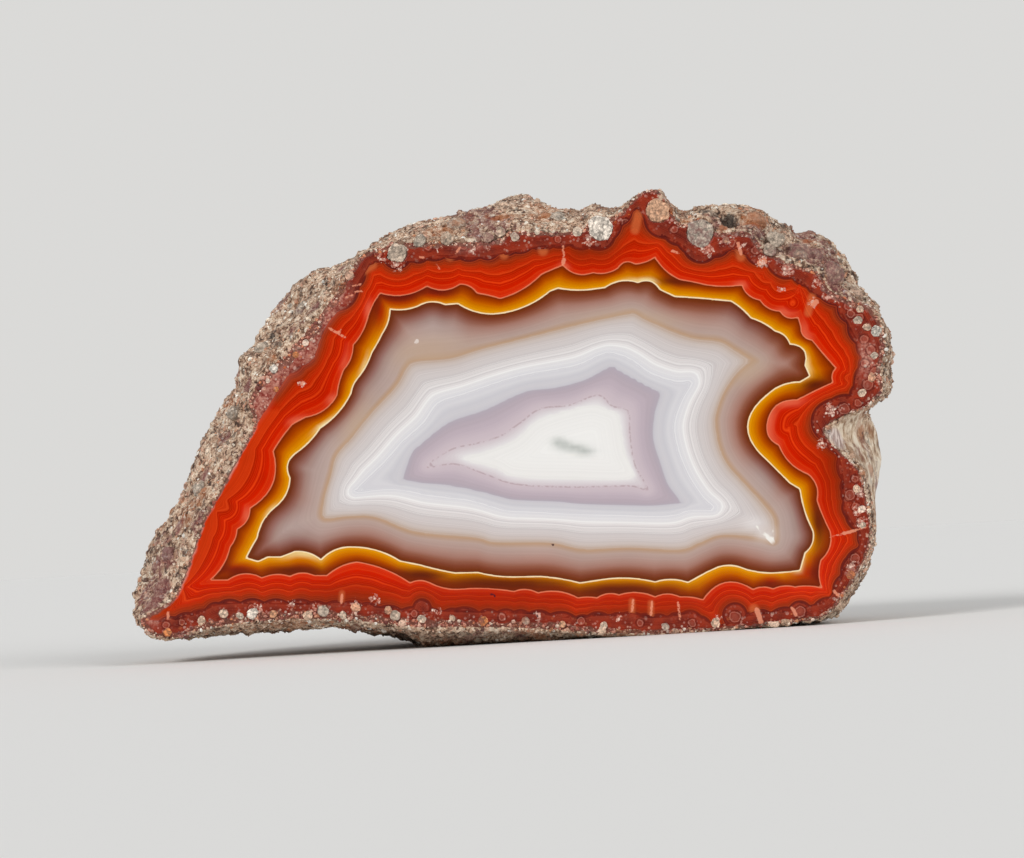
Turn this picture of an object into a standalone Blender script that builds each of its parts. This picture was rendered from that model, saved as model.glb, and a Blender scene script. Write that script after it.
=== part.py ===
"""Half of a banded agate nodule, sawn flat on one side and standing on a worn flat underneath.

The stone is one solid. Its sawn face looks along -Y, its rough back bulges along +Y, and +Z is up.
Outlines are given in millimetres on the sawn face, X to the right and Z up, measured from the middle
of the face before the stone is rolled onto its worn flat.
"""

import math

import bmesh
import bpy
from mathutils import Vector, noise

MM = 0.001

# Driving dimensions, in millimetres and degrees
STONE_DEPTH = 28.0  # from the sawn face to the far back
REST_ROLL = 3.4  # how far the stone is rolled to stand on its worn flat
FLAT_DROP = 21.42  # from the middle of the face down to the worn flat
SIGHT_DISTANCE = 600.0  # from where the outlines were read, so deeper points read smaller
GIRTH_START = 3.0  # depth of the widest line where the stone doesn't flare behind the cut
GIRTH_PER_FLARE = 1.3  # extra depth of the widest line for each millimetre of flare
BACK_ROUNDING = 0.8  # 1 is an ellipse in section, less is boxier
BACK_SMOOTHING = 9  # how many stations each way the back's outline is evened out over
FLARE_SMOOTHING = 4  # and the flare behind the cut
SPINE_LEFT = (-26.0, -9.5)  # X and Z of the back's ridge at its left end
SPINE_RIGHT = (27.0, -2.5)  # and at its right end
SPINE_FALL = 0.3  # how much of the depth the ridge loses at its ends

# How many points the loft has
STATION_COUNT = 138
FLANK_RINGS = 6  # from the sawn edge to the widest line
BACK_RINGS = 20  # from the widest line to the ridge
LAST_RING = 0.97  # the last ring's share of the way to the ridge

# Rough surface, in millimetres
SWELL_SIZE, SWELL_HEIGHT, SWELL_FADE = 17.0, 1.7, 20.0  # broad swells, full height at the fade's depth
LEDGE_SIZE, LEDGE_HEIGHT, LEDGE_FADE = 10.0, 1.1, 16.0  # creases with rounded ledges between them
LUMP_SIZE, LUMP_HEIGHT, LUMP_FADE = 5.0, 0.75, 7.0  # lumps of the pebbly rind

# Knobs and hollows of the rind: X, depth and Z of the middle, radius, and height or minus depth
KNOBS = [
    (-6.0, 19.0, 18.5, 4.5, 1.0),
    (20.0, 15.0, 20.0, 4.0, 1.0),
    (8.0, 20.0, 16.0, 5.0, -1.4),
    (-18.0, 17.0, 9.0, 5.0, 1.2),
    (-24.0, 14.0, -4.0, 4.5, -1.3),
    (31.0, 15.0, 8.0, 4.5, 1.1),
    (27.0, 20.0, -6.0, 5.0, -1.5),
    (12.0, 27.0, -4.0, 5.5, 1.1),
    (-8.0, 26.0, 2.0, 4.5, -1.4),
    (-14.0, 23.0, -12.0, 4.5, 1.2),
    (4.0, 25.0, -13.0, 4.5, -1.0),
    (28.9, 3.2, 18.3, 2.8, 0.8),
    (32.5, 3.2, 16.0, 2.8, 0.8),
    (22.0, 3.2, 21.4, 2.6, -0.8),
]

# The stone's outline, clockwise from the lower left tip: the sawn edge's X and Z, then the widest line's
STATIONS = [
    (-34.0, -20.9, -34.4, -21.0),
    (-36.4, -20.4, -36.6, -20.4),
    (-37.1, -19.1, -37.8, -18.5),
    (-35.7, -18.1, -38.0, -17.1),
    (-33.8, -16.8, -37.8, -15.5),
    (-32.6, -14.2, -36.8, -12.7),
    (-31.6, -11.5, -35.7, -10.1),
    (-30.7, -8.9, -34.5, -7.8),
    (-29.1, -6.2, -32.8, -4.9),
    (-27.6, -3.1, -31.2, -1.6),
    (-25.8, 0.3, -29.6, 1.4),
    (-26.2, 2.7, -28.3, 3.6),
    (-25.0, 5.3, -27.0, 6.8),
    (-22.6, 7.5, -25.4, 9.6),
    (-20.5, 9.9, -23.7, 12.0),
    (-18.5, 12.3, -21.3, 14.4),
    (-16.7, 15.1, -18.2, 15.8),
    (-15.0, 17.4, -15.1, 17.5),
    (-12.7, 18.2, -13.2, 18.8),
    (-11.0, 18.6, -10.8, 20.1),
    (-7.2, 18.6, -7.6, 20.9),
    (-4.4, 18.7, -4.7, 21.7),
    (-1.4, 18.9, -2.0, 22.6),
    (0.0, 19.7, 0.3, 22.8),
    (3.8, 19.6, 3.6, 22.6),
    (6.9, 19.9, 6.8, 22.0),
    (8.0, 21.0, 8.1, 22.3),
    (10.6, 21.4, 10.3, 22.3),
    (12.0, 23.0, 12.1, 23.2),
    (14.1, 23.9, 14.3, 24.0),
    (15.4, 22.6, 15.6, 23.1),
    (16.8, 20.5, 17.0, 22.1),
    (18.9, 21.0, 19.3, 22.5),
    (20.4, 19.7, 22.0, 22.6),
    (23.6, 19.7, 24.5, 22.1),
    (25.2, 17.9, 26.6, 21.1),
    (27.3, 16.8, 29.1, 19.5),
    (29.0, 16.2, 31.8, 18.9),
    (30.7, 15.6, 33.4, 17.3),
    (31.7, 14.0, 34.8, 14.8),
    (33.5, 13.0, 36.0, 13.4),
    (35.6, 12.2, 36.9, 12.1),
    (36.9, 10.5, 38.1, 9.6),
    (37.3, 8.2, 38.5, 7.2),
    (36.8, 6.0, 38.2, 4.7),
    (37.0, 4.0, 37.2, 3.1),
    (35.6, 2.3, 35.6, 2.0),
    (33.1, 1.3, 35.9, 0.9),
    (31.2, -0.2, 36.5, -0.8),
    (32.8, -2.3, 37.0, -2.7),
    (34.5, -3.9, 36.6, -4.4),
    (35.4, -7.1, 36.3, -7.1),
    (35.8, -11.1, 36.5, -10.8),
    (34.8, -13.9, 35.6, -13.9),
    (33.5, -16.1, 34.4, -16.3),
    (32.0, -18.0, 32.7, -18.4),
    (30.3, -19.0, 30.4, -19.1),
    (25.8, -19.6, 25.8, -19.9),
    (19.3, -20.2, 19.3, -20.8),
    (13.8, -20.5, 13.8, -21.4),
    (7.8, -20.3, 7.8, -21.8),
    (1.8, -19.9, 1.8, -22.2),
    (-4.2, -19.8, -3.7, -22.6),
    (-9.2, -19.8, -8.2, -22.5),
    (-13.2, -19.4, -11.6, -20.7),
    (-19.2, -19.0, -18.2, -20.2),
    (-25.2, -19.2, -24.7, -20.4),
    (-30.7, -20.0, -30.4, -20.7),
]


def clear_scene():
    for scene_object in list(bpy.data.objects):
        bpy.data.objects.remove(scene_object, do_unlink=True)


def closed_curve(points, count):
    """Spread count points evenly along a smooth closed curve through the given points."""
    steps = 12
    fine = []
    total = len(points)
    for index in range(total):
        before, start, end, after = (Vector(points[(index + shift) % total]) for shift in (-1, 0, 1, 2))
        for step in range(steps):
            t = step / steps
            fine.append(
                0.5
                * (
                    2 * start
                    + (end - before) * t
                    + (2 * before - 5 * start + 4 * end - after) * t**2
                    + (3 * start - before - 3 * end + after) * t**3
                )
            )
    lengths = [0.0]
    for index, point in enumerate(fine):
        lengths.append(lengths[-1] + (fine[(index + 1) % len(fine)] - point).length)
    spread = []
    segment = 0
    for index in range(count):
        target = lengths[-1] * index / count
        while lengths[segment + 1] < target:
            segment += 1
        share = (target - lengths[segment]) / (lengths[segment + 1] - lengths[segment])
        spread.append(fine[segment].lerp(fine[(segment + 1) % len(fine)], share))
    return spread


def spine_at(x, reach):
    """The back's ridge under a point X of the outline: its X, its Z and its depth."""
    share = (x + reach) / (2 * reach)
    end = 2 * share - 1
    return (
        SPINE_LEFT[0] + (SPINE_RIGHT[0] - SPINE_LEFT[0]) * share,
        SPINE_LEFT[1] + (SPINE_RIGHT[1] - SPINE_LEFT[1]) * share,
        STONE_DEPTH * (1 - SPINE_FALL * end * end),
    )


def evened(stations, index, spread):
    """The stations near this one, averaged with less weight for those further away."""
    total = stations[index] * 0
    weights = 0.0
    for shift in range(-spread, spread + 1):
        weight = 1 + math.cos(math.pi * shift / (spread + 1))
        total += stations[(index + shift) % len(stations)] * weight
        weights += weight
    return total / weights


def station_column(station, flare, even, reach):
    """One station's points from the sawn edge round the girth to the ridge, as X, depth and Z."""
    edge_x, edge_z, girth_x, girth_z = station
    girth_depth = GIRTH_START + GIRTH_PER_FLARE * flare
    widen = 1 + girth_depth / SIGHT_DISTANCE
    girth_x, girth_z = girth_x * widen, girth_z * widen
    column = []
    for ring in range(FLANK_RINGS):
        share = ring / FLANK_RINGS
        out = share**0.8
        column.append(
            (edge_x + (girth_x - edge_x) * out, girth_depth * share**1.2, edge_z + (girth_z - edge_z) * out)
        )
    spine_x, spine_z, spine_depth = spine_at(girth_x, reach)
    for ring in range(BACK_RINGS):
        turn = LAST_RING * math.pi / 2 * ring / (BACK_RINGS - 1)
        out = math.cos(turn) ** BACK_ROUNDING
        back = math.sin(turn) ** BACK_ROUNDING
        evening = 1 - out * out
        ring_x = girth_x + (even[2] - girth_x) * evening
        ring_z = girth_z + (even[3] - girth_z) * evening
        column.append(
            (
                spine_x + (ring_x - spine_x) * out,
                girth_depth + (spine_depth - girth_depth) * back,
                spine_z + (ring_z - spine_z) * out,
            )
        )
    return column


def stand_up(x, depth, z):
    """From the face's own millimetres to metres on the ground, rolled onto the worn flat."""
    roll = math.radians(REST_ROLL)
    return Vector(
        (
            (x * math.cos(roll) + z * math.sin(roll)) * MM,
            (depth - STONE_DEPTH / 2) * MM,
            (z * math.cos(roll) - x * math.sin(roll) + FLAT_DROP) * MM,
        )
    )


def faded(depth, full_depth):
    """0 at the sawn edge, rising smoothly to 1 at the full depth."""
    share = min(max(depth / full_depth, 0.0), 1.0)
    return share * share * (3 - 2 * share)


def rough_height(point):
    """How far the rind stands out at a point given as X, depth and Z, all in millimetres."""
    at = Vector(point)
    depth = at.y
    height = noise.noise(at / SWELL_SIZE) * SWELL_HEIGHT * faded(depth, SWELL_FADE)
    crease = abs(noise.noise(at / LEDGE_SIZE + Vector((5.0, 50.0, 9.0))))
    height += (2 * crease - 0.35) * LEDGE_HEIGHT * faded(depth, LEDGE_FADE)
    height += noise.noise(at / LUMP_SIZE + Vector((31.0, 7.0, 4.0))) * LUMP_HEIGHT * faded(depth, LUMP_FADE)
    for knob in KNOBS:
        away = (at - Vector(knob[:3])).length / knob[3]
        if away < 1:
            height += knob[4] * (1 - away * away) ** 2
    return height


def build_stone():
    outline = closed_curve(STATIONS, STATION_COUNT)
    reach = max(abs(station[2]) for station in outline)
    flares = [math.hypot(station[2] - station[0], station[3] - station[1]) for station in outline]
    columns = []
    for index, station in enumerate(outline):
        flare = evened(flares, index, FLARE_SMOOTHING)
        even = evened(outline, index, BACK_SMOOTHING)
        columns.append(station_column(station, flare, even, reach))
    mesh = bmesh.new()
    rows = [[mesh.verts.new(stand_up(*point)) for point in column] for column in columns]
    for index, row in enumerate(rows):
        after = rows[(index + 1) % len(rows)]
        for ring in range(len(row) - 1):
            mesh.faces.new((row[ring], row[ring + 1], after[ring + 1], after[ring]))
    mesh.normal_update()
    moves = []
    for column, row in zip(columns, rows):
        for point, vertex in zip(column, row):
            moves.append((vertex, vertex.normal * rough_height(point) * MM))
    for vertex, move in moves:
        vertex.co += move

    # The sawn face and the ridge close the two ends of the loft
    mesh.faces.new([row[0] for row in rows])
    ridge = [mesh.edges.get((rows[index - 1][-1], row[-1])) for index, row in enumerate(rows)]
    bmesh.ops.triangle_fill(mesh, use_beauty=True, use_dissolve=False, edges=ridge)

    # The worn flat that the stone stands on
    everything = mesh.verts[:] + mesh.edges[:] + mesh.faces[:]
    cut = bmesh.ops.bisect_plane(
        mesh, geom=everything, dist=1e-7, plane_co=(0, 0, 0), plane_no=(0, 0, -1), clear_outer=True
    )
    rim = [part for part in cut["geom_cut"] if isinstance(part, bmesh.types.BMEdge)]
    bmesh.ops.holes_fill(mesh, edges=rim, sides=0)
    bmesh.ops.triangulate(mesh, faces=mesh.faces[:])
    bmesh.ops.recalc_face_normals(mesh, faces=mesh.faces[:])

    data = bpy.data.meshes.new("agate")
    mesh.to_mesh(data)
    mesh.free()
    data.shade_smooth()
    data.set_sharp_from_angle(angle=math.radians(50))
    return data


def stone_material():
    material = bpy.data.materials.new("agate")
    material.use_nodes = True
    shader = material.node_tree.nodes["Principled BSDF"]
    shader.inputs["Base Color"].default_value = (0.42, 0.3, 0.24, 1)
    shader.inputs["Roughness"].default_value = 0.6
    shader.inputs["Metallic"].default_value = 0.0
    return material


def main():
    clear_scene()
    collection = bpy.data.collections.new("agate")
    bpy.context.scene.collection.children.link(collection)
    stone = bpy.data.objects.new("agate", build_stone())
    stone.data.materials.append(stone_material())
    collection.objects.link(stone)


main()
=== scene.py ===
import math
import random

import bmesh
import bpy
import numpy as np
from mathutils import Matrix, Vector, geometry, kdtree, noise


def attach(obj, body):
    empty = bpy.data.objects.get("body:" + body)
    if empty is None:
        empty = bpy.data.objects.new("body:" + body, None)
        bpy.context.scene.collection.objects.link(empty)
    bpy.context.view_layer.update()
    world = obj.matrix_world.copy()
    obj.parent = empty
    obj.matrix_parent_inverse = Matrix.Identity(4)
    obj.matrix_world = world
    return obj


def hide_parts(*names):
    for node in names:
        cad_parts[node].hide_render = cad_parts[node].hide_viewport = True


# Half of a banded agate: a polished sawn face, a pebbly rind, and the grains that stand on the rind.
# Face places are in millimetres: x to the right and z up from the middle of the face, before the
# stone is rolled onto its worn flat. Depth runs from the sawn face into the stone.

mm = 0.001

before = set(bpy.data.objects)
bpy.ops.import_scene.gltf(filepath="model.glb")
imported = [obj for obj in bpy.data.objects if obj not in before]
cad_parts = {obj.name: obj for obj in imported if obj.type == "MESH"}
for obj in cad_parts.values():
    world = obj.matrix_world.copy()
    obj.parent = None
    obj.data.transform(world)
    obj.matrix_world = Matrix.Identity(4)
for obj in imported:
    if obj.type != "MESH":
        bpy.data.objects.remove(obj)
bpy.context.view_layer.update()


# Shared tools: placing, curves and meshes

standing = {
    "depth": 28.0,  # sawn face to far back
    "roll": 3.4,  # degrees that the stone is rolled onto its flat
    "drop": 21.42,  # middle of the face down to the flat
    "sight": 600.0,  # camera to sawn face
    "picture": 102.4,  # across the picture at the sawn face
}


def standUp(points):
    # face millimetres (x, depth, z) to metres on the ground
    roll = math.radians(standing["roll"])
    x, depth, z = points[..., 0], points[..., 1], points[..., 2]
    return mm * np.stack(
        (
            x * math.cos(roll) + z * math.sin(roll),
            depth - standing["depth"] / 2,
            z * math.cos(roll) - x * math.sin(roll) + standing["drop"],
        ),
        axis=-1,
    )


def smoothStep(value, low, high):
    share = np.clip((value - low) / (high - low), 0, 1)
    return share * share * (3 - 2 * share)


def noiseAt(points, size, shift=0.0):
    # smooth noise between -1 and 1, for points in millimetres; shift picks another stretch of it
    moved = Vector(shift) if isinstance(shift, tuple) else Vector((shift, shift * 1.7, -shift))
    return np.array([noise.noise(Vector(point) / size + moved) for point in points])


def evenly(fine, count):
    # spreads count points evenly along a closed run of fine points
    steps = np.linalg.norm(np.roll(fine, -1, axis=0) - fine, axis=1)
    lengths = np.concatenate(([0.0], np.cumsum(steps)))
    wanted = lengths[-1] * np.arange(count) / count
    closed = np.vstack((fine, fine[:1]))
    return np.stack([np.interp(wanted, lengths, closed[:, axis]) for axis in range(fine.shape[1])], axis=1)


def smoothCurve(points, count, steps=12):
    # closed curve through the points
    points = np.array(points, dtype=float)
    before, after, beyond = np.roll(points, 1, 0), np.roll(points, -1, 0), np.roll(points, -2, 0)
    fine = []
    for index in range(len(points)):
        start, end = points[index], after[index]
        for step in range(steps):
            t = step / steps
            fine.append(
                0.5
                * (
                    2 * start
                    + (end - before[index]) * t
                    + (2 * before[index] - 5 * start + 4 * end - beyond[index]) * t**2
                    + (3 * start - before[index] - 3 * end + beyond[index]) * t**3
                )
            )
    return evenly(np.array(fine), count)


def alongArcs(arcs, steps):
    # points of a closed run of arcs: each has its start and how far it bulges towards the middle of the stone
    points = []
    for index, (x, z, bulge) in enumerate(arcs):
        endX, endZ, _ = arcs[(index + 1) % len(arcs)]
        along = np.array((endX - x, endZ - z))
        inward = np.array((along[1], -along[0])) / np.linalg.norm(along)
        for step in range(steps):
            t = step / steps
            points.append(np.array((x, z)) + along * t + inward * bulge * 4 * t * (1 - t))
    return np.array(points)


def circularMean(values, spread):
    # running mean round a closed run, with a cosine window
    shifts = np.arange(-spread, spread + 1)
    weights = 1 + np.cos(np.pi * shifts / (spread + 1))
    total = sum(weight * np.roll(values, -shift, axis=0) for shift, weight in zip(shifts, weights))
    return total / weights.sum()


def insideLine(points, line):
    # true for the points inside a closed line
    inside = np.zeros(len(points), dtype=bool)
    x, z = points[:, 0], points[:, 1]
    following = np.roll(line, -1, axis=0)
    for (startX, startZ), (endX, endZ) in zip(line, following):
        if startZ == endZ:
            continue
        crosses = (startZ > z) != (endZ > z)
        inside ^= crosses & (x < (endX - startX) * (z - startZ) / (endZ - startZ) + startX)
    return inside


def searchTree(points):
    tree = kdtree.KDTree(len(points))
    for index, (x, z) in enumerate(points):
        tree.insert((x, z, 0), index)
    tree.balance()
    return tree


def distanceTo(points, line):
    # distance of each point to the nearest of the line's points
    tree = searchTree(line)
    return np.array([tree.find((x, z, 0))[2] for x, z in points])


def meshFromTriangles(name, points, triangles):
    mesh = bpy.data.meshes.new(name)
    mesh.vertices.add(len(points))
    mesh.vertices.foreach_set("co", points.astype(np.float32).ravel())
    mesh.loops.add(len(triangles) * 3)
    mesh.loops.foreach_set("vertex_index", triangles.astype(np.int32).ravel())
    mesh.polygons.add(len(triangles))
    mesh.polygons.foreach_set("loop_start", np.arange(0, len(triangles) * 3, 3, dtype=np.int32))
    mesh.update(calc_edges=True)
    mesh.validate()
    return mesh


def addValues(mesh, name, values):
    attribute = mesh.attributes.new(name, "FLOAT", "POINT")
    attribute.data.foreach_set("value", np.asarray(values, dtype=np.float32))


def placePiece(name, mesh, materials):
    piece = bpy.data.objects.new(name, mesh)
    bpy.context.scene.collection.objects.link(piece)
    for material in materials:
        mesh.materials.append(material)
    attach(piece, "root")
    return piece


# Shared tools: materials


def eyeColour(red, green, blue):
    # a colour as the eye reads it, 0 to 255, to Blender's own light values
    def toLight(value):
        value /= 255
        return value / 12.92 if value <= 0.04045 else ((value + 0.055) / 1.055) ** 2.4

    return (toLight(red), toLight(green), toLight(blue), 1)


def addNode(tree, kind, settings=None, **sockets):
    # a node with its settings, and its inputs by number as _0, _1 or by name
    node = tree.nodes.new(kind)
    for key, value in (settings or {}).items():
        setattr(node, key, value)
    for key, value in sockets.items():
        socket = node.inputs[int(key[1:])] if key[1:].isdigit() else node.inputs[key.replace("_", " ")]
        if isinstance(value, bpy.types.NodeSocket):
            tree.links.new(value, socket)
        else:
            socket.default_value = value
    return node


def calc(tree, operation, first, second=0.0, clamp=False):
    settings = {"operation": operation, "use_clamp": clamp}
    return addNode(tree, "ShaderNodeMath", settings, _0=first, _1=second).outputs[0]


def times(tree, first, second):
    return calc(tree, "MULTIPLY", first, second)


def plus(tree, first, second):
    return calc(tree, "ADD", first, second)


def minus(tree, first, second):
    return calc(tree, "SUBTRACT", first, second)


def blendColours(tree, share, first, second, mode="MIX"):
    settings = {"data_type": "RGBA", "blend_type": mode}
    return addNode(tree, "ShaderNodeMix", settings, _0=share, _6=first, _7=second).outputs[2]


def blendValues(tree, share, first, second):
    return addNode(tree, "ShaderNodeMix", {"data_type": "FLOAT"}, _0=share, _2=first, _3=second).outputs[0]


def remap(tree, value, low, high, toLow=0.0, toHigh=1.0):
    settings = {"interpolation_type": "SMOOTHSTEP"}
    limits = {"_1": low, "_2": high, "_3": toLow, "_4": toHigh}
    return addNode(tree, "ShaderNodeMapRange", settings, _0=value, **limits).outputs[0]


def colourRamp(tree, value, stops):
    node = addNode(tree, "ShaderNodeValToRGB", None, _0=value)
    elements = node.color_ramp.elements
    while len(elements) > 1:
        elements.remove(elements[-1])
    elements[0].position, elements[0].color = stops[0][0], eyeColour(*stops[0][1])
    for position, colour in stops[1:]:
        elements.new(position).color = eyeColour(*colour)
    return node.outputs[0]


def attributeValue(tree, name):
    return addNode(tree, "ShaderNodeAttribute", {"attribute_name": name}).outputs["Fac"]


def multiplied(tree, colour, value):
    # a colour made lighter or darker by a value about 1
    grey = addNode(tree, "ShaderNodeCombineColor", None, _0=value, _1=value, _2=value).outputs[0]
    return blendColours(tree, 1.0, colour, grey, "MULTIPLY")


def shaded(tree, colour, value, strength):
    # the same by a value about 0
    return multiplied(tree, colour, plus(tree, times(tree, value, strength), 1.0))


def over(tree, colour, share, layer):
    # lays a layer's tone over the colour where share is 1, as strongly as the layer says
    tone, strength = layer
    return blendColours(tree, times(tree, share, strength), colour, eyeColour(*tone))


def bodyCoordinates(tree):
    return addNode(tree, "ShaderNodeTexCoord").outputs["Object"]


def noiseTexture(tree, place, size, detail=2.0, roughness=0.5):
    # size in millimetres
    node = addNode(tree, "ShaderNodeTexNoise", None, Vector=place, Scale=1 / (size * mm), Detail=detail)
    node.inputs["Roughness"].default_value = roughness
    return node.outputs["Fac"]


def ripple(tree, place, size, detail=2.0):
    # the same noise, about 0
    return minus(tree, noiseTexture(tree, place, size, detail), 0.5)


def newMaterial(name):
    material = bpy.data.materials.new(name)
    material.use_nodes = True
    tree = material.node_tree
    return material, tree, tree.nodes["Principled BSDF"], bodyCoordinates(tree)


def roughen(tree, shader, height, strength, distance):
    # distance in millimetres
    bump = addNode(tree, "ShaderNodeBump", None, Height=height, Strength=strength, Distance=distance * mm)
    tree.links.new(bump.outputs[0], shader.inputs["Normal"])


def makeGroup(name, inputs, outputs):
    group = bpy.data.node_groups.new(name, "ShaderNodeTree")
    for socketName, kind, value in inputs:
        socket = group.interface.new_socket(name=socketName, in_out="INPUT", socket_type=kind)
        if value is not None:
            socket.default_value = value
    for socketName, kind in outputs:
        group.interface.new_socket(name=socketName, in_out="OUTPUT", socket_type=kind)
    return group, group.nodes.new("NodeGroupInput").outputs, group.nodes.new("NodeGroupOutput").inputs


def useGroup(tree, group, **sockets):
    return addNode(tree, "ShaderNodeGroup", {"node_tree": group}, **sockets).outputs


def makePebbleCells():
    # small round pebbles set in a darker ground: where they are, and how bright each is
    group, given, put = makeGroup(
        "pebbleCells",
        [
            ("Vector", "NodeSocketVector", None),
            ("Size", "NodeSocketFloat", 1.0),
            ("Fill", "NodeSocketFloat", 0.42),
        ],
        [("Pebble", "NodeSocketFloat"), ("Tone", "NodeSocketFloat")],
    )
    place = given["Vector"]
    scale = calc(group, "DIVIDE", 1 / mm, given["Size"])
    cells = addNode(group, "ShaderNodeTexVoronoi", None, Vector=place, Scale=scale)
    reach = plus(group, cells.outputs["Distance"], times(group, ripple(group, place, 0.5), 0.35))
    tone = addNode(group, "ShaderNodeSeparateColor", None, Color=cells.outputs["Color"]).outputs
    fill = times(group, given["Fill"], plus(group, times(group, tone[1], 0.9), 0.35))
    group.links.new(remap(group, minus(group, fill, reach), -0.02, 0.05), put["Pebble"])
    group.links.new(tone[0], put["Tone"])
    return group


def makeFineBands():
    # growth lines that follow a value over the surface: soft ones about 0, and thin ones
    floats = (("Value", 0.0), ("Count", 10.0), ("Sharpness", 2.0))
    group, given, put = makeGroup(
        "fineBands",
        [(name, "NodeSocketFloat", value) for name, value in floats],
        [("Lines", "NodeSocketFloat"), ("Thin", "NodeSocketFloat")],
    )
    along = times(group, given["Value"], given["Count"])
    settings = {"noise_dimensions": "1D"}
    lines = addNode(group, "ShaderNodeTexNoise", settings, W=along, Scale=1.0, Detail=3.0, Roughness=0.65)
    middle = minus(group, lines.outputs["Fac"], 0.5)
    group.links.new(times(group, middle, given["Sharpness"]), put["Lines"])
    group.links.new(remap(group, calc(group, "ABSOLUTE", middle), 0.006, 0.045, 1.0, 0.0), put["Thin"])
    return group


pebbleCells = makePebbleCells()
fineBands = makeFineBands()


# The stone: outline and loft, as the solid has them, with a finer skin

stone = {
    "stations": 700,
    "flankRings": 20,
    "backRings": 60,
    "lastRing": 0.997,
    "girthStart": 3.0,
    "girthPerFlare": 1.3,
    "backRounding": 0.8,
    "backSmoothing": 9 / 138,  # share of the way round
    "flareSmoothing": 4 / 138,
    "spineLeft": (-26.0, -9.5),
    "spineRight": (27.0, -2.5),
    "spineFall": 0.3,
    # wide relief: size, height, depth where it is full, and which stretch of the noise
    "swell": (17.0, 1.7, 20.0, (0.0, 0.0, 0.0)),
    "ledge": (10.0, 1.1, 16.0, (5.0, 50.0, 9.0)),
    "lump": (5.0, 0.75, 7.0, (31.0, 7.0, 4.0)),
    # hollows, and swellings where the last number is below 0: x, depth, z, radius, how far in
    "knobs": [
        (-6.0, 19.0, 18.5, 4.5, 1.0), (20.0, 15.0, 20.0, 4.0, 1.0), (8.0, 20.0, 16.0, 5.0, -1.4),
        (-18.0, 17.0, 9.0, 5.0, 1.2), (-24.0, 14.0, -4.0, 4.5, -1.3), (31.0, 15.0, 8.0, 4.5, 1.1),
        (27.0, 20.0, -6.0, 5.0, -1.5), (12.0, 27.0, -4.0, 5.5, 1.1), (-8.0, 26.0, 2.0, 4.5, -1.4),
        (-14.0, 23.0, -12.0, 4.5, 1.2), (4.0, 25.0, -13.0, 4.5, -1.0), (28.9, 3.2, 18.3, 2.8, 0.8),
        (32.5, 3.2, 16.0, 2.8, 0.8), (22.0, 3.2, 21.4, 2.6, -0.8),
    ],
    # sawn edge x and z, then the widest line's x and z, clockwise from the lower left tip
    "outline": [
        (-34.0, -20.9, -34.4, -21.0), (-36.4, -20.4, -36.6, -20.4), (-37.1, -19.1, -37.8, -18.5),
        (-35.7, -18.1, -38.0, -17.1), (-33.8, -16.8, -37.8, -15.5), (-32.6, -14.2, -36.8, -12.7),
        (-31.6, -11.5, -35.7, -10.1), (-30.7, -8.9, -34.5, -7.8), (-29.1, -6.2, -32.8, -4.9),
        (-27.6, -3.1, -31.2, -1.6), (-25.8, 0.3, -29.6, 1.4), (-26.2, 2.7, -28.3, 3.6),
        (-25.0, 5.3, -27.0, 6.8), (-22.6, 7.5, -25.4, 9.6), (-20.5, 9.9, -23.7, 12.0),
        (-18.5, 12.3, -21.3, 14.4), (-16.7, 15.1, -18.2, 15.8), (-15.0, 17.4, -15.1, 17.5),
        (-12.7, 18.2, -13.2, 18.8), (-11.0, 18.6, -10.8, 20.1), (-7.2, 18.6, -7.6, 20.9),
        (-4.4, 18.7, -4.7, 21.7), (-1.4, 18.9, -2.0, 22.6), (0.0, 19.7, 0.3, 22.8), (3.8, 19.6, 3.6, 22.6),
        (6.9, 19.9, 6.8, 22.0), (8.0, 21.0, 8.1, 22.3), (10.6, 21.4, 10.3, 22.3), (12.0, 23.0, 12.1, 23.2),
        (14.1, 23.9, 14.3, 24.0), (15.4, 22.6, 15.6, 23.1), (16.8, 20.5, 17.0, 22.1),
        (18.9, 21.0, 19.3, 22.5), (20.4, 19.7, 22.0, 22.6), (23.6, 19.7, 24.5, 22.1),
        (25.2, 17.9, 26.6, 21.1), (27.3, 16.8, 29.1, 19.5), (29.0, 16.2, 31.8, 18.9),
        (30.7, 15.6, 33.4, 17.3), (31.7, 14.0, 34.8, 14.8), (33.5, 13.0, 36.0, 13.4),
        (35.6, 12.2, 36.9, 12.1), (36.9, 10.5, 38.1, 9.6), (37.3, 8.2, 38.5, 7.2), (36.8, 6.0, 38.2, 4.7),
        (37.0, 4.0, 37.2, 3.1), (35.6, 2.3, 35.6, 2.0), (33.1, 1.3, 35.9, 0.9), (31.2, -0.2, 36.5, -0.8),
        (32.8, -2.3, 37.0, -2.7), (34.5, -3.9, 36.6, -4.4), (35.4, -7.1, 36.3, -7.1),
        (35.8, -11.1, 36.5, -10.8), (34.8, -13.9, 35.6, -13.9), (33.5, -16.1, 34.4, -16.3),
        (32.0, -18.0, 32.7, -18.4), (30.3, -19.0, 30.4, -19.1), (25.8, -19.6, 25.8, -19.9),
        (19.3, -20.2, 19.3, -20.8), (13.8, -20.5, 13.8, -21.4), (7.8, -20.3, 7.8, -21.8),
        (1.8, -19.9, 1.8, -22.2), (-4.2, -19.8, -3.7, -22.6), (-9.2, -19.8, -8.2, -22.5),
        (-13.2, -19.4, -11.6, -20.7), (-19.2, -19.0, -18.2, -20.2), (-25.2, -19.2, -24.7, -20.4),
        (-30.7, -20.0, -30.4, -20.7),
    ],
}


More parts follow.
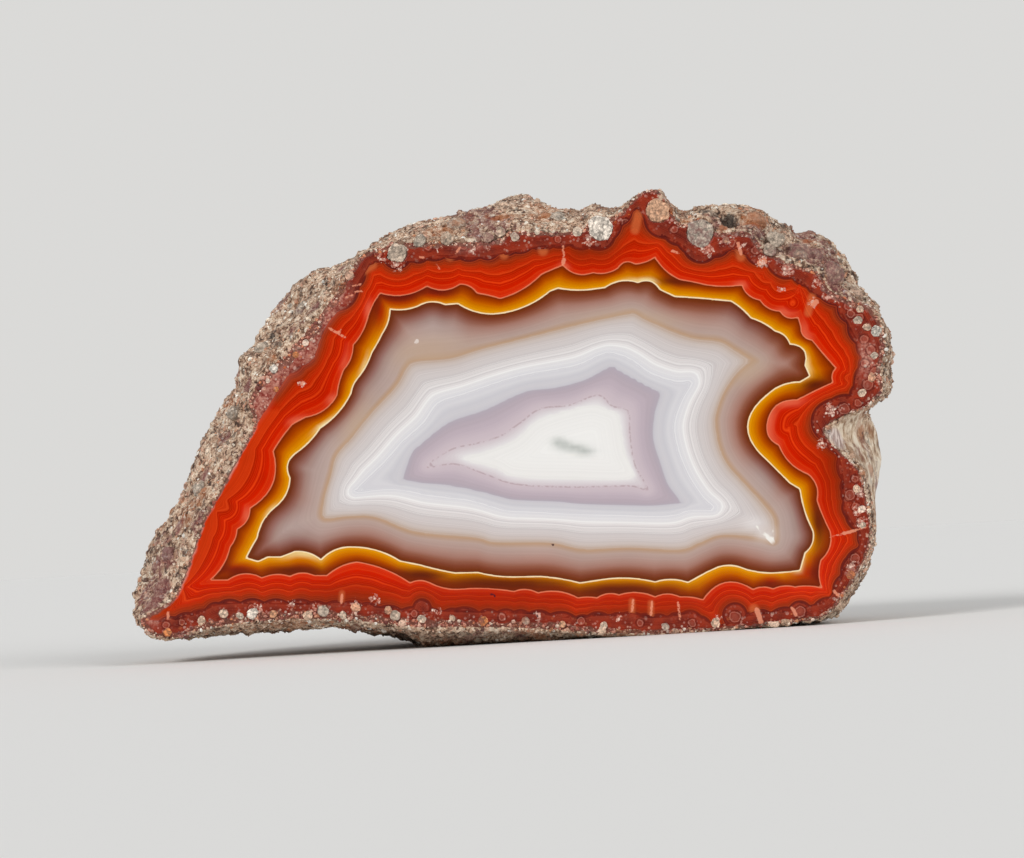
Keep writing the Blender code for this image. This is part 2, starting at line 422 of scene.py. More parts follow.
def loftStone():
    # the skin's points as stations by rings, in face millimetres, before the rough skin is added
    outline = smoothCurve(stone["outline"], stone["stations"])
    edge, girth = outline[:, :2], outline[:, 2:]
    reach = np.abs(girth[:, 0]).max()
    flare = circularMean(
        np.linalg.norm(girth - edge, axis=1), round(stone["flareSmoothing"] * stone["stations"])
    )
    even = circularMean(girth, round(stone["backSmoothing"] * stone["stations"]))
    girthDepth = stone["girthStart"] + stone["girthPerFlare"] * flare
    girth = girth * (1 + girthDepth / standing["sight"])[:, None]
    share = (girth[:, 0] + reach) / (2 * reach)
    left, right = np.array(stone["spineLeft"]), np.array(stone["spineRight"])
    spine = left + (right - left) * share[:, None]
    spineDepth = standing["depth"] * (1 - stone["spineFall"] * (2 * share - 1) ** 2)
    rings = []
    for ring in range(stone["flankRings"]):
        step = ring / stone["flankRings"]
        place = edge + (girth - edge) * step**0.8
        rings.append(np.stack((place[:, 0], girthDepth * step**1.2, place[:, 1]), axis=1))
    for ring in range(stone["backRings"]):
        turn = stone["lastRing"] * math.pi / 2 * ring / (stone["backRings"] - 1)
        out = math.cos(turn) ** stone["backRounding"]
        back = math.sin(turn) ** stone["backRounding"]
        widest = girth + (even - girth) * (1 - out * out)
        place = spine + (widest - spine) * out
        depth = girthDepth + (spineDepth - girthDepth) * back
        rings.append(np.stack((place[:, 0], depth, place[:, 1]), axis=1))
    return np.stack(rings, axis=1)


def skinNormals(grid):
    # outward directions of the loft's points
    round_ = np.roll(grid, -1, axis=0) - np.roll(grid, 1, axis=0)
    along = np.gradient(grid, axis=1)
    normals = np.cross(round_, along)
    return normals / np.maximum(np.linalg.norm(normals, axis=-1, keepdims=True), 1e-9)


def addMounds(height, points, places, power, way=1):
    # round mounds on the skin: x, depth, z, radius, height
    for *middle, radius, tall in places:
        away = np.linalg.norm(points - np.array(middle), axis=1) / radius
        height += way * tall * np.clip(1 - away * away, 0, 1) ** power


def wornIn(points):
    # how far the rind is worn in from the loft, as the solid has it
    worn = np.zeros(len(points))
    for name in ("swell", "ledge", "lump"):
        size, tall, fade, shift = stone[name]
        relief = noiseAt(points, size, shift)
        if name == "ledge":
            relief = 2 * np.abs(relief) - 0.35
        worn += relief * tall * smoothStep(points[:, 1], 0, fade)
    addMounds(worn, points, stone["knobs"], 2)
    return worn


rind = {
    "coarse": (2.3, 0.28),  # size and height of the fine relief
    "middle": (0.95, 0.26),
    "sand": (0.42, 0.13),
    "cobbleSize": 1.5,
    "cobbleHeight": 0.24,
    "sinkUnder": (0.05, 0.45),  # how far inside the solid's skin the grains stand: front, back
    "edgeWander": (0.9, 0.16),  # the sawn edge's small waves
    # wide dents (swells below 0), then open pits: x, depth, z, radius, how deep
    "dents": [(-23.4, 6.0, 14.0, 4.5, 1.0), (1.8, 8.0, 23.5, 5.0, 0.9), (-27.2, 4.5, 6.6, 3.5, -1.0)],
    "pits": [
        (21.9, 1.7, 20.7, 1.25, 2.2), (20.7, 2.4, 21.6, 0.8, 0.8), (19.3, 2.4, 21.6, 1.0, 1.4),
        (16.4, 2.6, 21.6, 0.6, 0.5), (24.8, 4.0, 20.6, 0.7, 0.6), (7.4, 3.0, 22.0, 0.6, 0.5),
        (-1.6, 3.8, 21.6, 0.6, 0.5), (-7.2, 3.6, 20.2, 0.6, 0.5), (-19.6, 4.2, 13.4, 0.7, 0.6),
        (-23.7, 4.0, 9.0, 0.8, 0.7), (-24.2, 5.5, 9.6, 0.7, 0.6), (-27.6, 4.0, 2.1, 0.6, 0.5),
        (-32.2, 4.5, -6.6, 0.6, 0.5), (-34.8, 4.0, -13.4, 0.6, 0.5), (-34.2, 3.0, -16.0, 0.5, 0.45),
        (30.0, 9.0, 17.5, 1.3, 1.1), (-12.0, 12.0, 20.5, 1.4, 1.1), (2.0, 14.0, 21.5, 1.2, 1.0),
        (36.5, 12.0, 4.0, 1.3, 1.1), (-26.0, 13.0, 8.0, 1.4, 1.2), (10.0, 27.0, 6.0, 1.6, 1.2),
        (-16.0, 24.0, 2.0, 1.4, 1.1),
    ],
    # each stain's drift over the rind: size, shift, strength
    "drifts": {"plum": (6.5, 2.0, 0.55), "rust": (5.0, 8.0, 0.5), "soot": (2.2, 15.0, 0.35)},
    # spots of stain, of painted shade over the pits, and of coat: x, depth, z, radius
    "plum": [
        (-30.6, 4.0, -5.0, 1.6), (-28.4, 3.5, -1.4, 1.5), (-32.9, 4.0, -10.0, 1.6),
        (-34.2, 3.0, -13.2, 1.5), (-26.2, 2.0, 4.2, 1.2), (-21.6, 2.0, 9.6, 1.1), (-35.6, 1.5, -18.4, 2.2),
        (-33.0, 1.5, -19.8, 2.0), (24.2, 1.4, 19.6, 1.6), (-35.2, 2.0, -16.2, 2.0), (-17.0, 2.5, 16.0, 1.0),
        (36.4, 2.5, 9.0, 1.6),
    ],
    "rust": [
        (-23.8, 4.0, 7.6, 0.9), (-16.2, 1.5, 15.4, 0.7), (23.6, 2.4, 20.2, 1.9), (21.2, 0.8, 19.9, 0.9),
        (15.8, 0.6, 22.0, 0.9), (-0.8, 4.0, 21.0, 1.6), (3.6, 4.0, 21.0, 1.2), (30.2, 6.0, 19.2, 1.2),
        (36.5, 3.0, 13.0, 0.9), (37.2, 3.0, 7.6, 0.7), (-31.4, 4.5, -3.0, 0.8), (-29.6, 4.5, 1.8, 0.8),
        (-35.6, 4.0, -11.0, 0.9), (35.9, 4.0, -4.2, 1.1), (35.3, 5.0, -0.2, 1.0), (36.2, 3.0, -7.8, 1.0),
    ],
    "calcite": [
        (35.0, 3.5, -1.4, 3.2), (35.6, 4.5, -4.4, 3.0), (34.2, 2.0, 0.2, 2.4), (36.2, 5.0, -7.2, 2.4),
        (36.6, 4.0, -9.8, 1.9), (33.0, 1.2, -0.8, 1.6), (37.0, 7.0, -1.6, 3.2), (37.0, 7.5, -5.2, 3.2),
        (36.8, 7.0, -8.6, 2.6),
    ],
    "crystal": [(32.4, 0.4, -1.1, 1.3)],
    # dark spots, most of them painted shade over the open pits
    "soot": [
        (21.9, 2.2, 20.6, 1.4), (19.3, 2.8, 21.5, 1.1), (-29.0, 3.5, -1.6, 0.7), (-27.6, 4.0, 2.1, 0.6),
        (-19.8, 4.5, 13.6, 0.6), (-24.0, 4.5, 9.2, 0.8),
    ],
    # the rim of the face, where the saw left it broken: x, z, how wide
    "rim": [
        (-36.0, -19.5, 0.7), (-34.5, -17.4, 0.25), (-32.6, -14.2, 0.12), (-29.1, -6.2, 0.12),
        (-26.6, 0.5, 0.15), (-25.5, 4.0, 0.95), (-22.0, 8.5, 1.15), (-18.0, 13.0, 0.8), (-15.5, 17.0, 0.5),
        (-11.0, 18.6, 0.6), (-4.0, 18.8, 0.55), (3.0, 19.6, 0.5), (8.5, 21.0, 0.5), (14.0, 23.6, 0.3),
        (17.0, 20.5, 0.4), (21.0, 19.7, 0.5), (25.0, 18.2, 0.5), (29.0, 16.2, 0.4), (33.0, 13.2, 0.7),
        (36.9, 10.0, 0.55), (36.8, 6.0, 0.5), (35.6, 2.3, 0.25), (31.6, -0.2, 0.1), (33.6, -3.0, 0.12),
        (35.0, -6.6, 0.3), (35.7, -11.0, 0.25), (34.4, -15.0, 0.35), (31.0, -18.8, 0.35),
        (24.0, -19.7, 0.35), (12.0, -20.4, 0.55), (0.0, -19.9, 0.7), (-12.0, -19.4, 0.9),
        (-24.0, -19.2, 0.95), (-31.0, -20.0, 0.8),
    ],
    "rimReach": 2.6,  # how far each of them counts
    "rimDrop": 0.34,
    "rimRings": 6,
}

# pebbles set in the rim, flat where the saw went through: x, z, radius, tone
rimPebbles = {
    "centre": 0.34,  # how deep each sits, as a share of its radius
    "socket": 0.3,
    "uneven": 0.02,
    "lumps": [(0.9, 0.3), (0.35, 0.1)],  # size and height
    "places": [
        (-11.4, 17.6, 0.95, 0.7), (-1.2, 19.7, 0.55, 0.76), (-16.2, 15.4, 0.45, 0.93),
        (-9.3, 18.8, 0.6, 0.66), (-6.5, 19.1, 0.7, 0.55), (-2.4, 19.1, 0.5, 0.5), (0.3, 19.2, 0.5, 0.7),
        (-23.9, 6.0, 0.52, 0.98), (8.8, 20.1, 1.25, 0.97), (6.6, 19.8, 0.5, 0.7), (14.6, 21.8, 1.2, 0.84),
        (18.8, 19.6, 1.35, 0.64), (25.8, 18.0, 0.6, 0.58), (26.4, 19.0, 0.85, 0.6), (36.5, 9.8, 0.6, 0.98),
        (35.5, 10.2, 0.45, 0.8), (34.6, 10.9, 0.38, 0.72), (34.8, 12.0, 0.35, 0.8),
        (-28.9, -18.5, 0.5, 0.78), (-25.9, -18.4, 0.55, 0.97), (-18.9, -18.1, 0.6, 0.6),
        (-15.6, -17.9, 0.5, 0.92), (-12.4, -18.2, 0.4, 0.92), (-11.7, -18.7, 0.5, 0.7),
        (-34.5, -20.3, 0.42, 0.9), (-9.1, -19.0, 0.42, 0.72), (-2.9, -19.2, 0.5, 0.9),
        (-20.4, -18.6, 0.45, 0.8), (-23.9, -18.5, 0.4, 0.86), (-27.2, -18.7, 0.35, 0.7),
        (-31.0, -19.2, 0.45, 0.8), (-16.9, -18.6, 0.4, 0.75), (-6.0, -18.9, 0.35, 0.8),
        (1.4, -19.2, 0.4, 0.7), (5.0, -19.5, 0.35, 0.85), (9.2, -19.7, 0.4, 0.75), (15.4, -19.8, 0.4, 0.6),
        (20.4, -19.4, 0.45, 0.8), (34.5, -6.0, 0.4, 0.8), (34.9, -8.0, 0.35, 0.95), (35.1, -9.6, 0.3, 0.75),
        (33.9, -14.6, 0.4, 0.9), (36.2, 7.4, 0.4, 0.7), (36.0, 5.2, 0.45, 0.92), (35.0, 3.6, 0.4, 0.78),
        (21.4, 18.9, 0.35, 0.85), (-20.6, 8.6, 0.3, 0.95), (-21.6, 7.4, 0.28, 0.9),
        (-24.4, 4.8, 0.26, 0.95), (-23.6, 4.0, 0.26, 0.9),
    ],
}


def spotShare(points, spots):
    # 1 in the middle of any round spot, 0 outside it
    share = np.zeros(len(points))
    for *middle, radius in spots:
        away = np.linalg.norm(points - np.array(middle), axis=1) / radius
        share = np.maximum(share, np.clip(1 - away * away, 0, 1))
    return share


def stainAndShadeValues(points):
    # plum, rust, soot with painted shade over the pits, painted shade on the underside, and the smooth coat
    # over the rind, from noise and from the named spots
    some = {}
    for name, (size, shift, much) in rind["drifts"].items():
        drift = smoothStep(noiseAt(points, size, shift) + 0.35 * noiseAt(points, size / 4, shift), 0.12, 0.5)
        some[name] = np.maximum(drift * much, spotShare(points, rind[name]))
    for name in ("calcite", "crystal"):
        some[name] = smoothStep(spotShare(points, rind[name]), 0.0, 0.35)
    # painted shade: the underside is darkened where it would lie in shadow
    x, low = points[:, 0], smoothStep(-points[:, 2], 19.8, 20.8)
    some["earth"] = low * smoothStep(x, -33, -28) * smoothStep(-x, -33, -27)
    return some


def rimWidth(points):
    # how far in the face's rim is broken, for points x and z
    anchors = np.array(rind["rim"])
    away = np.linalg.norm(points[:, None] - anchors[None, :, :2], axis=2)
    weight = np.exp(-((away / rind["rimReach"]) ** 2)) + 1e-9
    return (weight * anchors[:, 2]).sum(axis=1) / weight.sum(axis=1)


def faceDepth(points, fromEdge):
    # how far the broken rim and the pebbles' sockets lie behind the sawn plane
    width = rimWidth(points) * (1 + 0.6 * flatNoise(points, 0.9, 6.0))
    share = np.clip(1 - fromEdge / np.maximum(width, 0.05), 0, 1)
    depth = rind["rimDrop"] * (share * (2 - share)) * (0.75 + 0.5 * flatNoise(points, 0.6, 12.0))
    for x, z, radius, _ in rimPebbles["places"]:
        away = np.hypot(points[:, 0] - x, points[:, 1] - z) / radius
        depth = np.maximum(depth, rimPebbles["socket"] * radius * smoothStep(-away, -1.04, -0.86))
    return np.maximum(depth, 0)


def flatNoise(points, size, shift):
    # noise over the face, for points x and z
    return noiseAt(np.stack((points[:, 0], np.zeros(len(points)), points[:, 1]), axis=1), size, shift)


def buildSkin():
    # the rough skin's points on the ground, and the loft's own places and outward directions
    grid = loftStone()
    normals = skinNormals(grid)
    flat = grid.reshape(-1, 3)
    height = -wornIn(flat)
    depth = flat[:, 1]
    coat = 1 - 0.8 * smoothStep(spotShare(flat, rind["calcite"]), 0.0, 0.35)
    nearSink, farSink = rind["sinkUnder"]
    height -= nearSink * smoothStep(depth, 0, 1.5) + (farSink - nearSink) * smoothStep(depth, 14, 24)
    for key, shift in (("coarse", 3.0), ("middle", 11.0), ("sand", 23.0)):
        size, tall = rind[key]
        height += noiseAt(flat, size, shift) * tall * smoothStep(depth, 0, 0.9) * coat
    # rounded cobbles with creases between them
    cells = [noise.voronoi(Vector(point) / rind["cobbleSize"])[0] for point in flat]
    crease = np.array([cell[1] - cell[0] for cell in cells])
    height += (smoothStep(crease, 0, 0.5) - 0.6) * rind["cobbleHeight"] * smoothStep(depth, 0, 1.2) * coat
    addMounds(height, flat, rind["dents"], 2, way=-1)
    addMounds(height, flat, rind["pits"], 1, way=-1)
    moved = flat + normals.reshape(-1, 3) * height[:, None]
    grid = moved.reshape(grid.shape)
    # the sawn edge wanders in its own plane
    size, tall = rind["edgeWander"]
    outward = normals[:, 1].copy()
    outward[:, 1] = 0
    grid[:, 0] += outward * (noiseAt(grid[:, 0], size, 41.0) * tall)[:, None]
    # and lies a little behind the sawn plane where the rim is broken
    edgeDrop = faceDepth(grid[:, 0][:, [0, 2]], np.zeros(len(grid)))
    grid[:, 0, 1] = 0
    for ring in range(rind["rimRings"]):
        lowest = edgeDrop * (1 - ring / rind["rimRings"]) + 0.03 * min(ring, 1)
        grid[:, ring, 1] = np.maximum(grid[:, ring, 1], lowest)
    grid[:, 1:, 1] = np.maximum(grid[:, 1:, 1], 0.03)
    return grid, normals


skin, skinOut = buildSkin()
sawnEdge = skin[:, 0][:, [0, 2]]
print("skin", skin.shape)


# The polished face: lines of the banding, read off the stone

face = {
    # spacing of the face's points: fine in the coloured bands, wider in the pale middle
    "fineStep": 0.22,
    "wideStep": 0.46,
    # how many points each line has
    "rindPoints": 1600,
    "arcPoints": 3000,
    "palePoints": 1200,
    # where clear red begins, inside the dark pebbly ground
    "rindLine": [
        (-24, 2.9), (-22.7, 4.9), (-21.9, 5.9), (-20, 6.9), (-19.2, 8.9), (-18.2, 10.9), (-16.2, 12.9),
        (-15.7, 13.9), (-14.5, 15.9), (-13.7, 16.7), (-10.2, 16.7), (-7.2, 17.3), (-3.2, 17.1), (0.8, 17.9),
        (4.8, 18.4), (8.8, 18.3), (10, 19.4), (12.6, 22.1), (13.8, 20.1), (16.6, 18.6), (18, 17.7),
        (19.8, 17.3), (22.2, 18), (23.6, 17.5), (24.5, 16.7), (25.8, 16.6), (26.6, 15.7), (27.8, 15.4),
        (29.3, 14.4), (30.3, 13.8), (31.8, 13), (32.6, 12.3), (33.1, 11.3), (33.7, 10.3), (34.2, 9.3),
        (34.7, 8.3), (35, 7.3), (34.9, 6.3), (34.6, 5.3), (34.3, 4.2), (33.7, 3.2), (32, 2.8), (30.9, 2),
        (30.4, 1), (30.8, 0), (31.2, -0.8), (31.5, -1.8), (32.6, -2.8), (33.1, -5.1), (33.1, -7.1),
        (33.7, -9), (34.8, -10.4), (34.6, -11.9), (33.5, -13.3), (32.9, -15), (31.4, -17.1), (29.8, -17.7),
        (26.8, -18.3), (23.8, -18.6), (21, -19.6), (19.3, -19.1), (17.8, -18.4), (14.8, -18.8),
        (8.8, -18.6), (6.8, -18.9), (4.8, -18.7), (1.8, -18.4), (-7.2, -18.2), (-11.2, -18.2),
        (-14.2, -17.7), (-25.2, -17.4), (-29.2, -17.5), (-31.2, -18.3), (-33.2, -18.9), (-35.2, -19.2),
        (-36.5, -18.9), (-34.9, -17.8), (-33.4, -16.2), (-32.5, -14.1), (-31.5, -11.4), (-30.5, -8.6),
        (-29, -6.1), (-27.4, -3.0), (-25.7, 0.1),
    ],
    # the scalloped lines: start of each arc, and how far it bulges towards the middle
    "pinkLine": [
        (-30.2, -15.1, 0.33), (-28.2, -11.8, 0.17), (-27.5, -10, 0.38), (-26.2, -7.9, 1.18),
        (-23.9, -2.2, -0.07), (-22, 0.45, -0.03), (-20.6, 1.2, 0.47), (-17.5, 3.4, -0.12), (-16.8, 6, 0.25),
        (-15.9, 8.4, 0.17), (-14.5, 10.9, -0.15), (-13.2, 13.6, 0.55), (-8.5, 14.3, 0.5),
        (-5.2, 14.5, -0.25), (-3.5, 13.6, -0.05), (-1.2, 13.05, 0.33), (2.9, 15.45, -0.03),
        (5.1, 16.4, 0.53), (8.1, 15.65, 0.28), (10.6, 16.1, -0.42), (12.3, 16.5, 0.15), (14.3, 17.2, 0.28),
        (16.8, 14.95, -0.03), (19.5, 14.4, 0.12), (23, 14.4, 0.35), (24.8, 12.9, 0.3), (26.8, 11.8, 0.38),
        (28.6, 11.2, 0), (28.9, 10.2, 0.38), (30, 8.9, 0.03), (32.4, 6.1, 0.23), (32.1, 4.65, 0.03),
        (28.5, 2.9, 0.88), (25.5, 0.4, 0.42), (26.7, -1.6, 0.47), (29.6, -4.5, -0.42), (30.5, -7.1, 0.07),
        (31.8, -10.2, -0.45), (30.9, -13.1, 0.25), (31, -15.9, 0.15), (28.3, -15.8, 0.2), (26.1, -16, 0.23),
        (24.1, -16.05, 1.25), (19.1, -17.1, 0.12), (16.8, -16.8, 0.3), (14.3, -16.8, 0.35),
        (10.7, -16.6, 0.28), (8.5, -16.9, 0.1), (6.6, -16.9, 0.4), (2.6, -16.4, 0.28), (0.2, -16.25, 0.15),
        (-4.9, -16, -0.25), (-8.2, -15.4, 0.25), (-10.2, -15.4, 0.33), (-15.5, -13.3, 0.25),
        (-18.5, -14.65, 0), (-19.8, -14.65, 0.3), (-22.2, -14.75, 0.28), (-25, -14.9, 0.53),
        (-28.4, -15.1, 0),
    ],
    "creamLine": [
        (-26.6, -12.9, -0.03), (-25.5, -10.9, -0.33), (-23.7, -7.8, 0.38), (-22.2, -4.9, -0.55),
        (-21.6, -2.4, 0.17), (-19.2, 0.1, 0.33), (-16.1, 3.6, -0.1), (-15.5, 5, 0.15), (-14, 7.7, 0.03),
        (-13, 9.5, 0.2), (-12.2, 12, 0.2), (-9.4, 12.3, -0.35), (-6.7, 12.45, 0), (-5.4, 12.55, 0.28),
        (-1.9, 11.5, 0.5), (3.8, 13.8, 0), (4.6, 14.1, 0.12), (7.8, 13.95, 0), (9.3, 14.15, -0.42),
        (12.6, 14.65, -0.5), (14.8, 13.95, 0), (16.3, 13.25, -0.03), (20.3, 12.95, 0), (21.9, 12.8, -0.12),
        (23.9, 11.1, -0.15), (26.3, 9.8, -0.28), (27.8, 8.5, -0.78), (29.3, 6.4, 0), (29.8, 5.3, 0),
        (28.8, 4.7, 0.33), (25.6, 3.5, 1.98), (25.5, -3.1, 0), (27.8, -5.4, 0), (28.8, -6, 0.1),
        (29.6, -9.1, 0), (30.1, -10.2, -0.35), (29.3, -12.4, 0), (28.8, -14.15, -0.03), (26, -14.4, -0.1),
        (23.3, -14, 0.25), (20.6, -13.8, 0), (19.5, -14.3, 0), (17.6, -15.35, 0.28), (14.3, -15.3, 0.25),
        (9.1, -15.05, 0), (6.8, -15.4, 0.1), (2.8, -14.75, 0), (0.2, -14.8, -0.12), (-3.4, -14.35, 0),
        (-5.7, -14.4, -0.05), (-9.2, -13.6, 0), (-11.2, -13.2, 0.42), (-16.4, -11.8, 0.3),
        (-19.1, -13.1, 0.28), (-21.7, -12.25, 0), (-23.1, -12.8, 0), (-24.4, -12.8, 0), (-25.4, -13.25, 0),
    ],
    # the pale lines, as smooth closed curves
    "tanLine": [
        (-18.9, -9), (-18.9, -7.1), (-18.2, -4.6), (-17.7, -2.6), (-16.2, -0.8), (-14.2, 1.7), (-11.7, 4.4),
        (-10.7, 6.2), (-9.7, 6.9), (-6.2, 7.2), (-3.2, 8.1), (0.8, 9.1), (6.3, 10.5), (11.3, 11.6),
        (12.3, 11.7), (13.8, 10.9), (17.8, 9.3), (20.8, 8.9), (22.3, 8.1), (24.2, 6.9), (24.2, 6.7),
        (22.8, 5.6), (21.4, 3.8), (20.6, 1.7), (20.5, 0.4), (20.9, -1.8), (21.8, -3.6), (23.3, -5.3),
        (26.1, -8.4), (26.5, -10.1), (26.3, -11.4), (24.5, -11), (21, -10.7), (18.8, -11.5), (16.8, -12.2),
        (11.8, -12), (7.1, -12.15), (3.8, -11.5), (-1.7, -11.45), (-3.7, -11), (-9.7, -10.4), (-13.7, -8.9),
        (-16.2, -8.8),
    ],
    "blueLine": [
        (10, 7.4), (11.8, 6.7), (13.8, 5.3), (16.3, 4.5), (17.7, 4.6), (17.7, 4.4), (16.8, 2.9), (16, 0.4),
        (16.4, -2.1), (17.4, -4.6), (18.8, -6.8), (19.9, -7.8), (19.9, -8), (17.8, -7.9), (15.3, -8.5),
        (9.8, -8.4), (1.8, -8.1), (-0.7, -7.9), (-4.2, -6.9), (-8.2, -6.4), (-11.7, -5.8), (-15.3, -6.2),
        (-15.3, -6), (-12.7, -3.6), (-10.7, -1.4), (-8.7, 0.4), (-7.2, 2.4), (-4.7, 3.3), (0.8, 5.1),
        (6.3, 6.1), (8.8, 7.2),
    ],
    "lilacLine": [
        (9.8, 6.2), (7.3, 4.9), (4.3, 4.1), (1.3, 3.7), (-2.7, 1.9), (-5.7, 0.9), (-7.4, -0.1),
        (-9.2, -1.6), (-10, -2.4), (-10.9, -5), (-10.8, -5.2), (-6.2, -5.7), (-2.7, -6.4), (0.3, -7.1),
        (4.8, -7.3), (7.8, -7.6), (13.8, -7.7), (17, -7.5), (17, -7.3), (15.6, -5.6), (14.8, -3.3),
        (14.1, -0.9), (14.3, 1.7), (14.9, 3.5), (14.8, 3.7), (12.8, 4.7), (10.8, 5.8),
    ],
    "dottedLine": [
        (8.6, 3.4), (5.8, 2.4), (2.8, 2), (0.8, 0.6), (-1.2, -0.7), (-3.4, -1.4), (-6.2, -2.1),
        (-8.5, -3.8), (-5.7, -3.5), (-2.7, -4.5), (0.3, -5.5), (5.8, -5.8), (11.8, -5.7), (13.6, -6.1),
        (12.3, -3.6), (11.8, -0.6), (11.6, 1.8), (10, 2.3),
    ],
    "coreLine": [
        (7.8, 2.4), (4.8, 1.7), (2.3, 0.7), (0.3, -1.1), (-2.7, -2.3), (-5, -3), (-1.7, -3.9), (0.3, -4.8),
        (5.8, -5), (12, -4.9), (11.3, -2.1), (10.8, 0.9), (10.4, 1.7), (9.3, 2.1),
    ],
    # round growths at the rind that the red bands curl about: x, z, radius
    "eyes": [
        (-11.5, 17.4, 1.3), (-2.7, 18.4, 1.1), (8.8, 19.4, 1.4), (18.9, 18.4, 1.7), (24.3, 17.9, 0.9),
        (27.4, 16.2, 0.8), (33.6, -6.6, 0.6), (28.8, -18.3, 1.0), (22.3, -18.6, 1.1), (-9.0, -17.9, 0.8),
        (-16.2, 14.8, 0.8), (32.3, 1.8, 1.0),
    ],
    "seedMargin": 0.6,  # no growths where the red reaches the sawn edge
    "seedSpacing": (1.3, 2.6),
    "seedRadius": (1.0, 2.2),
    "seedOut": 0.84,  # how far outside the rind line each centre is, as a share of its radius
    "cuspDepth": 0.12,
    # stretches where the red fades out softly instead: x, z, half width, half height
    "calm": [
        (-24.0, 4.5, 3.0, 3.0), (-20.5, 8.5, 3.0, 3.0), (-18.0, 12.0, 2.0, 2.0), (31.2, -2.4, 1.5, 1.5),
    ],
}


def facePoints(inner):
    # the face's inner points: a triangular grid, coarser inside the given line
    points = []
    low, high = sawnEdge.min(axis=0), sawnEdge.max(axis=0)
    for step, wanted in ((face["fineStep"], False), (face["wideStep"], True)):
        rows = int((high[1] - low[1]) / (step * 0.866)) + 1
        columns = int((high[0] - low[0]) / step) + 1
        column, row = np.meshgrid(np.arange(columns), np.arange(rows))
        x = low[0] + (column + 0.5 * (row % 2)) * step
        z = low[1] + row * step * 0.866
        grid = np.stack((x.ravel(), z.ravel()), axis=1)
        points.append(grid[insideLine(grid, inner) == wanted])
    points = np.vstack(points)
    points = points[insideLine(points, sawnEdge)]
    return points[distanceTo(points, sawnEdge) > face["fineStep"] * 0.6]


def growthSeeds(line):
    # the small growths along the rind: round fronts that bulge inwards, with cusps between them
    shuffler = random.Random(7)
    seeds = list(face["eyes"])
    ahead = np.roll(line, -3, axis=0) - np.roll(line, 3, axis=0)
    total = np.linalg.norm(np.roll(line, -1, axis=0) - line, axis=1).sum()
    along = 0.0
    while along < total:
        index = int(along / total * len(line))
        (x, z), (stepX, stepZ) = line[index], ahead[index] / np.linalg.norm(ahead[index])
        along += shuffler.uniform(*face["seedSpacing"])
        radius = shuffler.uniform(*face["seedRadius"])
        away = np.hypot(*(sawnEdge - (x, z)).T).min()
        calm = nearPlaces(np.array([(x, z)]), face["calm"])[0]
        if away < face["seedMargin"] or calm > 0.5:
            continue
        out = radius * face["seedOut"]
        seeds.append((x - stepZ * out, z + stepX * out, radius))
    return np.array(seeds)


def arcShapes(arcs):
    # each arc's circle, and whether the line has an outward cusp where the arc starts
    shapes = []
    for index, (x, z, bulge) in enumerate(arcs):
        endX, endZ, _ = arcs[(index + 1) % len(arcs)]
        along = np.array((endX - x, endZ - z))
        chord = np.linalg.norm(along)
        inward = np.array((along[1], -along[0])) / chord
        flat = max(bulge, 0.02)
        radius = (chord * chord / 4 + flat * flat) / (2 * flat)
        middle = np.array((x, z)) + along / 2 - inward * (radius - flat)
        shapes.append((middle, radius, along + 4 * bulge * inward, along - 4 * bulge * inward))
    sharp = []
    for index in range(len(shapes)):
        arriving, leaving = shapes[index - 1][3], shapes[index][2]
        turn = arriving[0] * leaving[1] - arriving[1] * leaving[0]
        sharp.append(turn < -0.05 * np.linalg.norm(arriving) * np.linalg.norm(leaving))
    return shapes, sharp


def growthDistance(points, arcs, steps=24):
    # how far the growth front still had to go to reach the scalloped line
    shapes, sharp = arcShapes(arcs)
    tree = searchTree(alongArcs(arcs, steps))
    distances = np.zeros(len(points))
    for number, (x, z) in enumerate(points):
        _, index, away = tree.find((x, z, 0))
        arc, step = divmod(index, steps)
        if step == 0 and sharp[arc]:
            fronts = [shapes[side][1] - math.hypot(*(shapes[side][0] - (x, z))) for side in (arc, arc - 1)]
            away = min(max(max(fronts), 0.0), away)
        distances[number] = away
    return distances


def bandValues(points, lines):
    # 0 at the sawn edge, 1 where the red begins, then one more at each line inwards
    fromSeeds = np.full(len(points), 99.0)
    for x, z, radius in growthSeeds(lines[1]):
        fromSeeds = np.minimum(fromSeeds, np.hypot(points[:, 0] - x, points[:, 1] - z) - radius)
    away = [distanceTo(points, line) for line in lines]
    within = [insideLine(points, line) for line in lines]
    fromPink = growthDistance(points, face["pinkLine"])
    fromCream = growthDistance(points, face["creamLine"])
    fromRind = np.where(within[1], np.minimum(fromSeeds, away[1] + face["cuspDepth"]), -away[1])
    ground = away[0] / np.maximum(away[0] + np.abs(fromRind), 1e-6)
    red = 1 + fromRind / np.maximum(fromRind + fromPink, 1e-6)
    band = np.where(fromRind > 0, red, np.minimum(ground, 0.999))
    last = len(lines) - 1
    for index in range(2, last):
        ahead = fromCream if index == 2 else away[index + 1]
        share = away[index] / np.maximum(away[index] + ahead, 1e-6)
        band = np.where(within[index], index + share, band)
    band = np.where(within[last], last + np.minimum(away[last] / 3.0, 0.999), band)
    signed = [np.where(inside, distance, -distance) for inside, distance in zip(within, away)]
    return band, fromRind, signed


def nearPlaces(points, places):
    # highest share of any soft round spot: x, z, half width, half height
    share = np.zeros(len(points))
    for x, z, wide, tall in places:
        away = ((points[:, 0] - x) / wide) ** 2 + ((points[:, 1] - z) / tall) ** 2
        share = np.maximum(share, np.exp(-away))
    return share


def alongStrokes(points, places):
    # distance to the nearest short stroke
    nearest = np.full(len(points), 9.0)
    for startX, startZ, endX, endZ, wide in places:
        start, along = np.array((startX, startZ)), np.array((endX - startX, endZ - startZ))
        share = np.clip(((points - start) @ along) / max(along @ along, 1e-9), 0, 1)
        away = np.linalg.norm(points - start - share[:, None] * along, axis=1)
        nearest = np.minimum(nearest, away - wide)
    return nearest


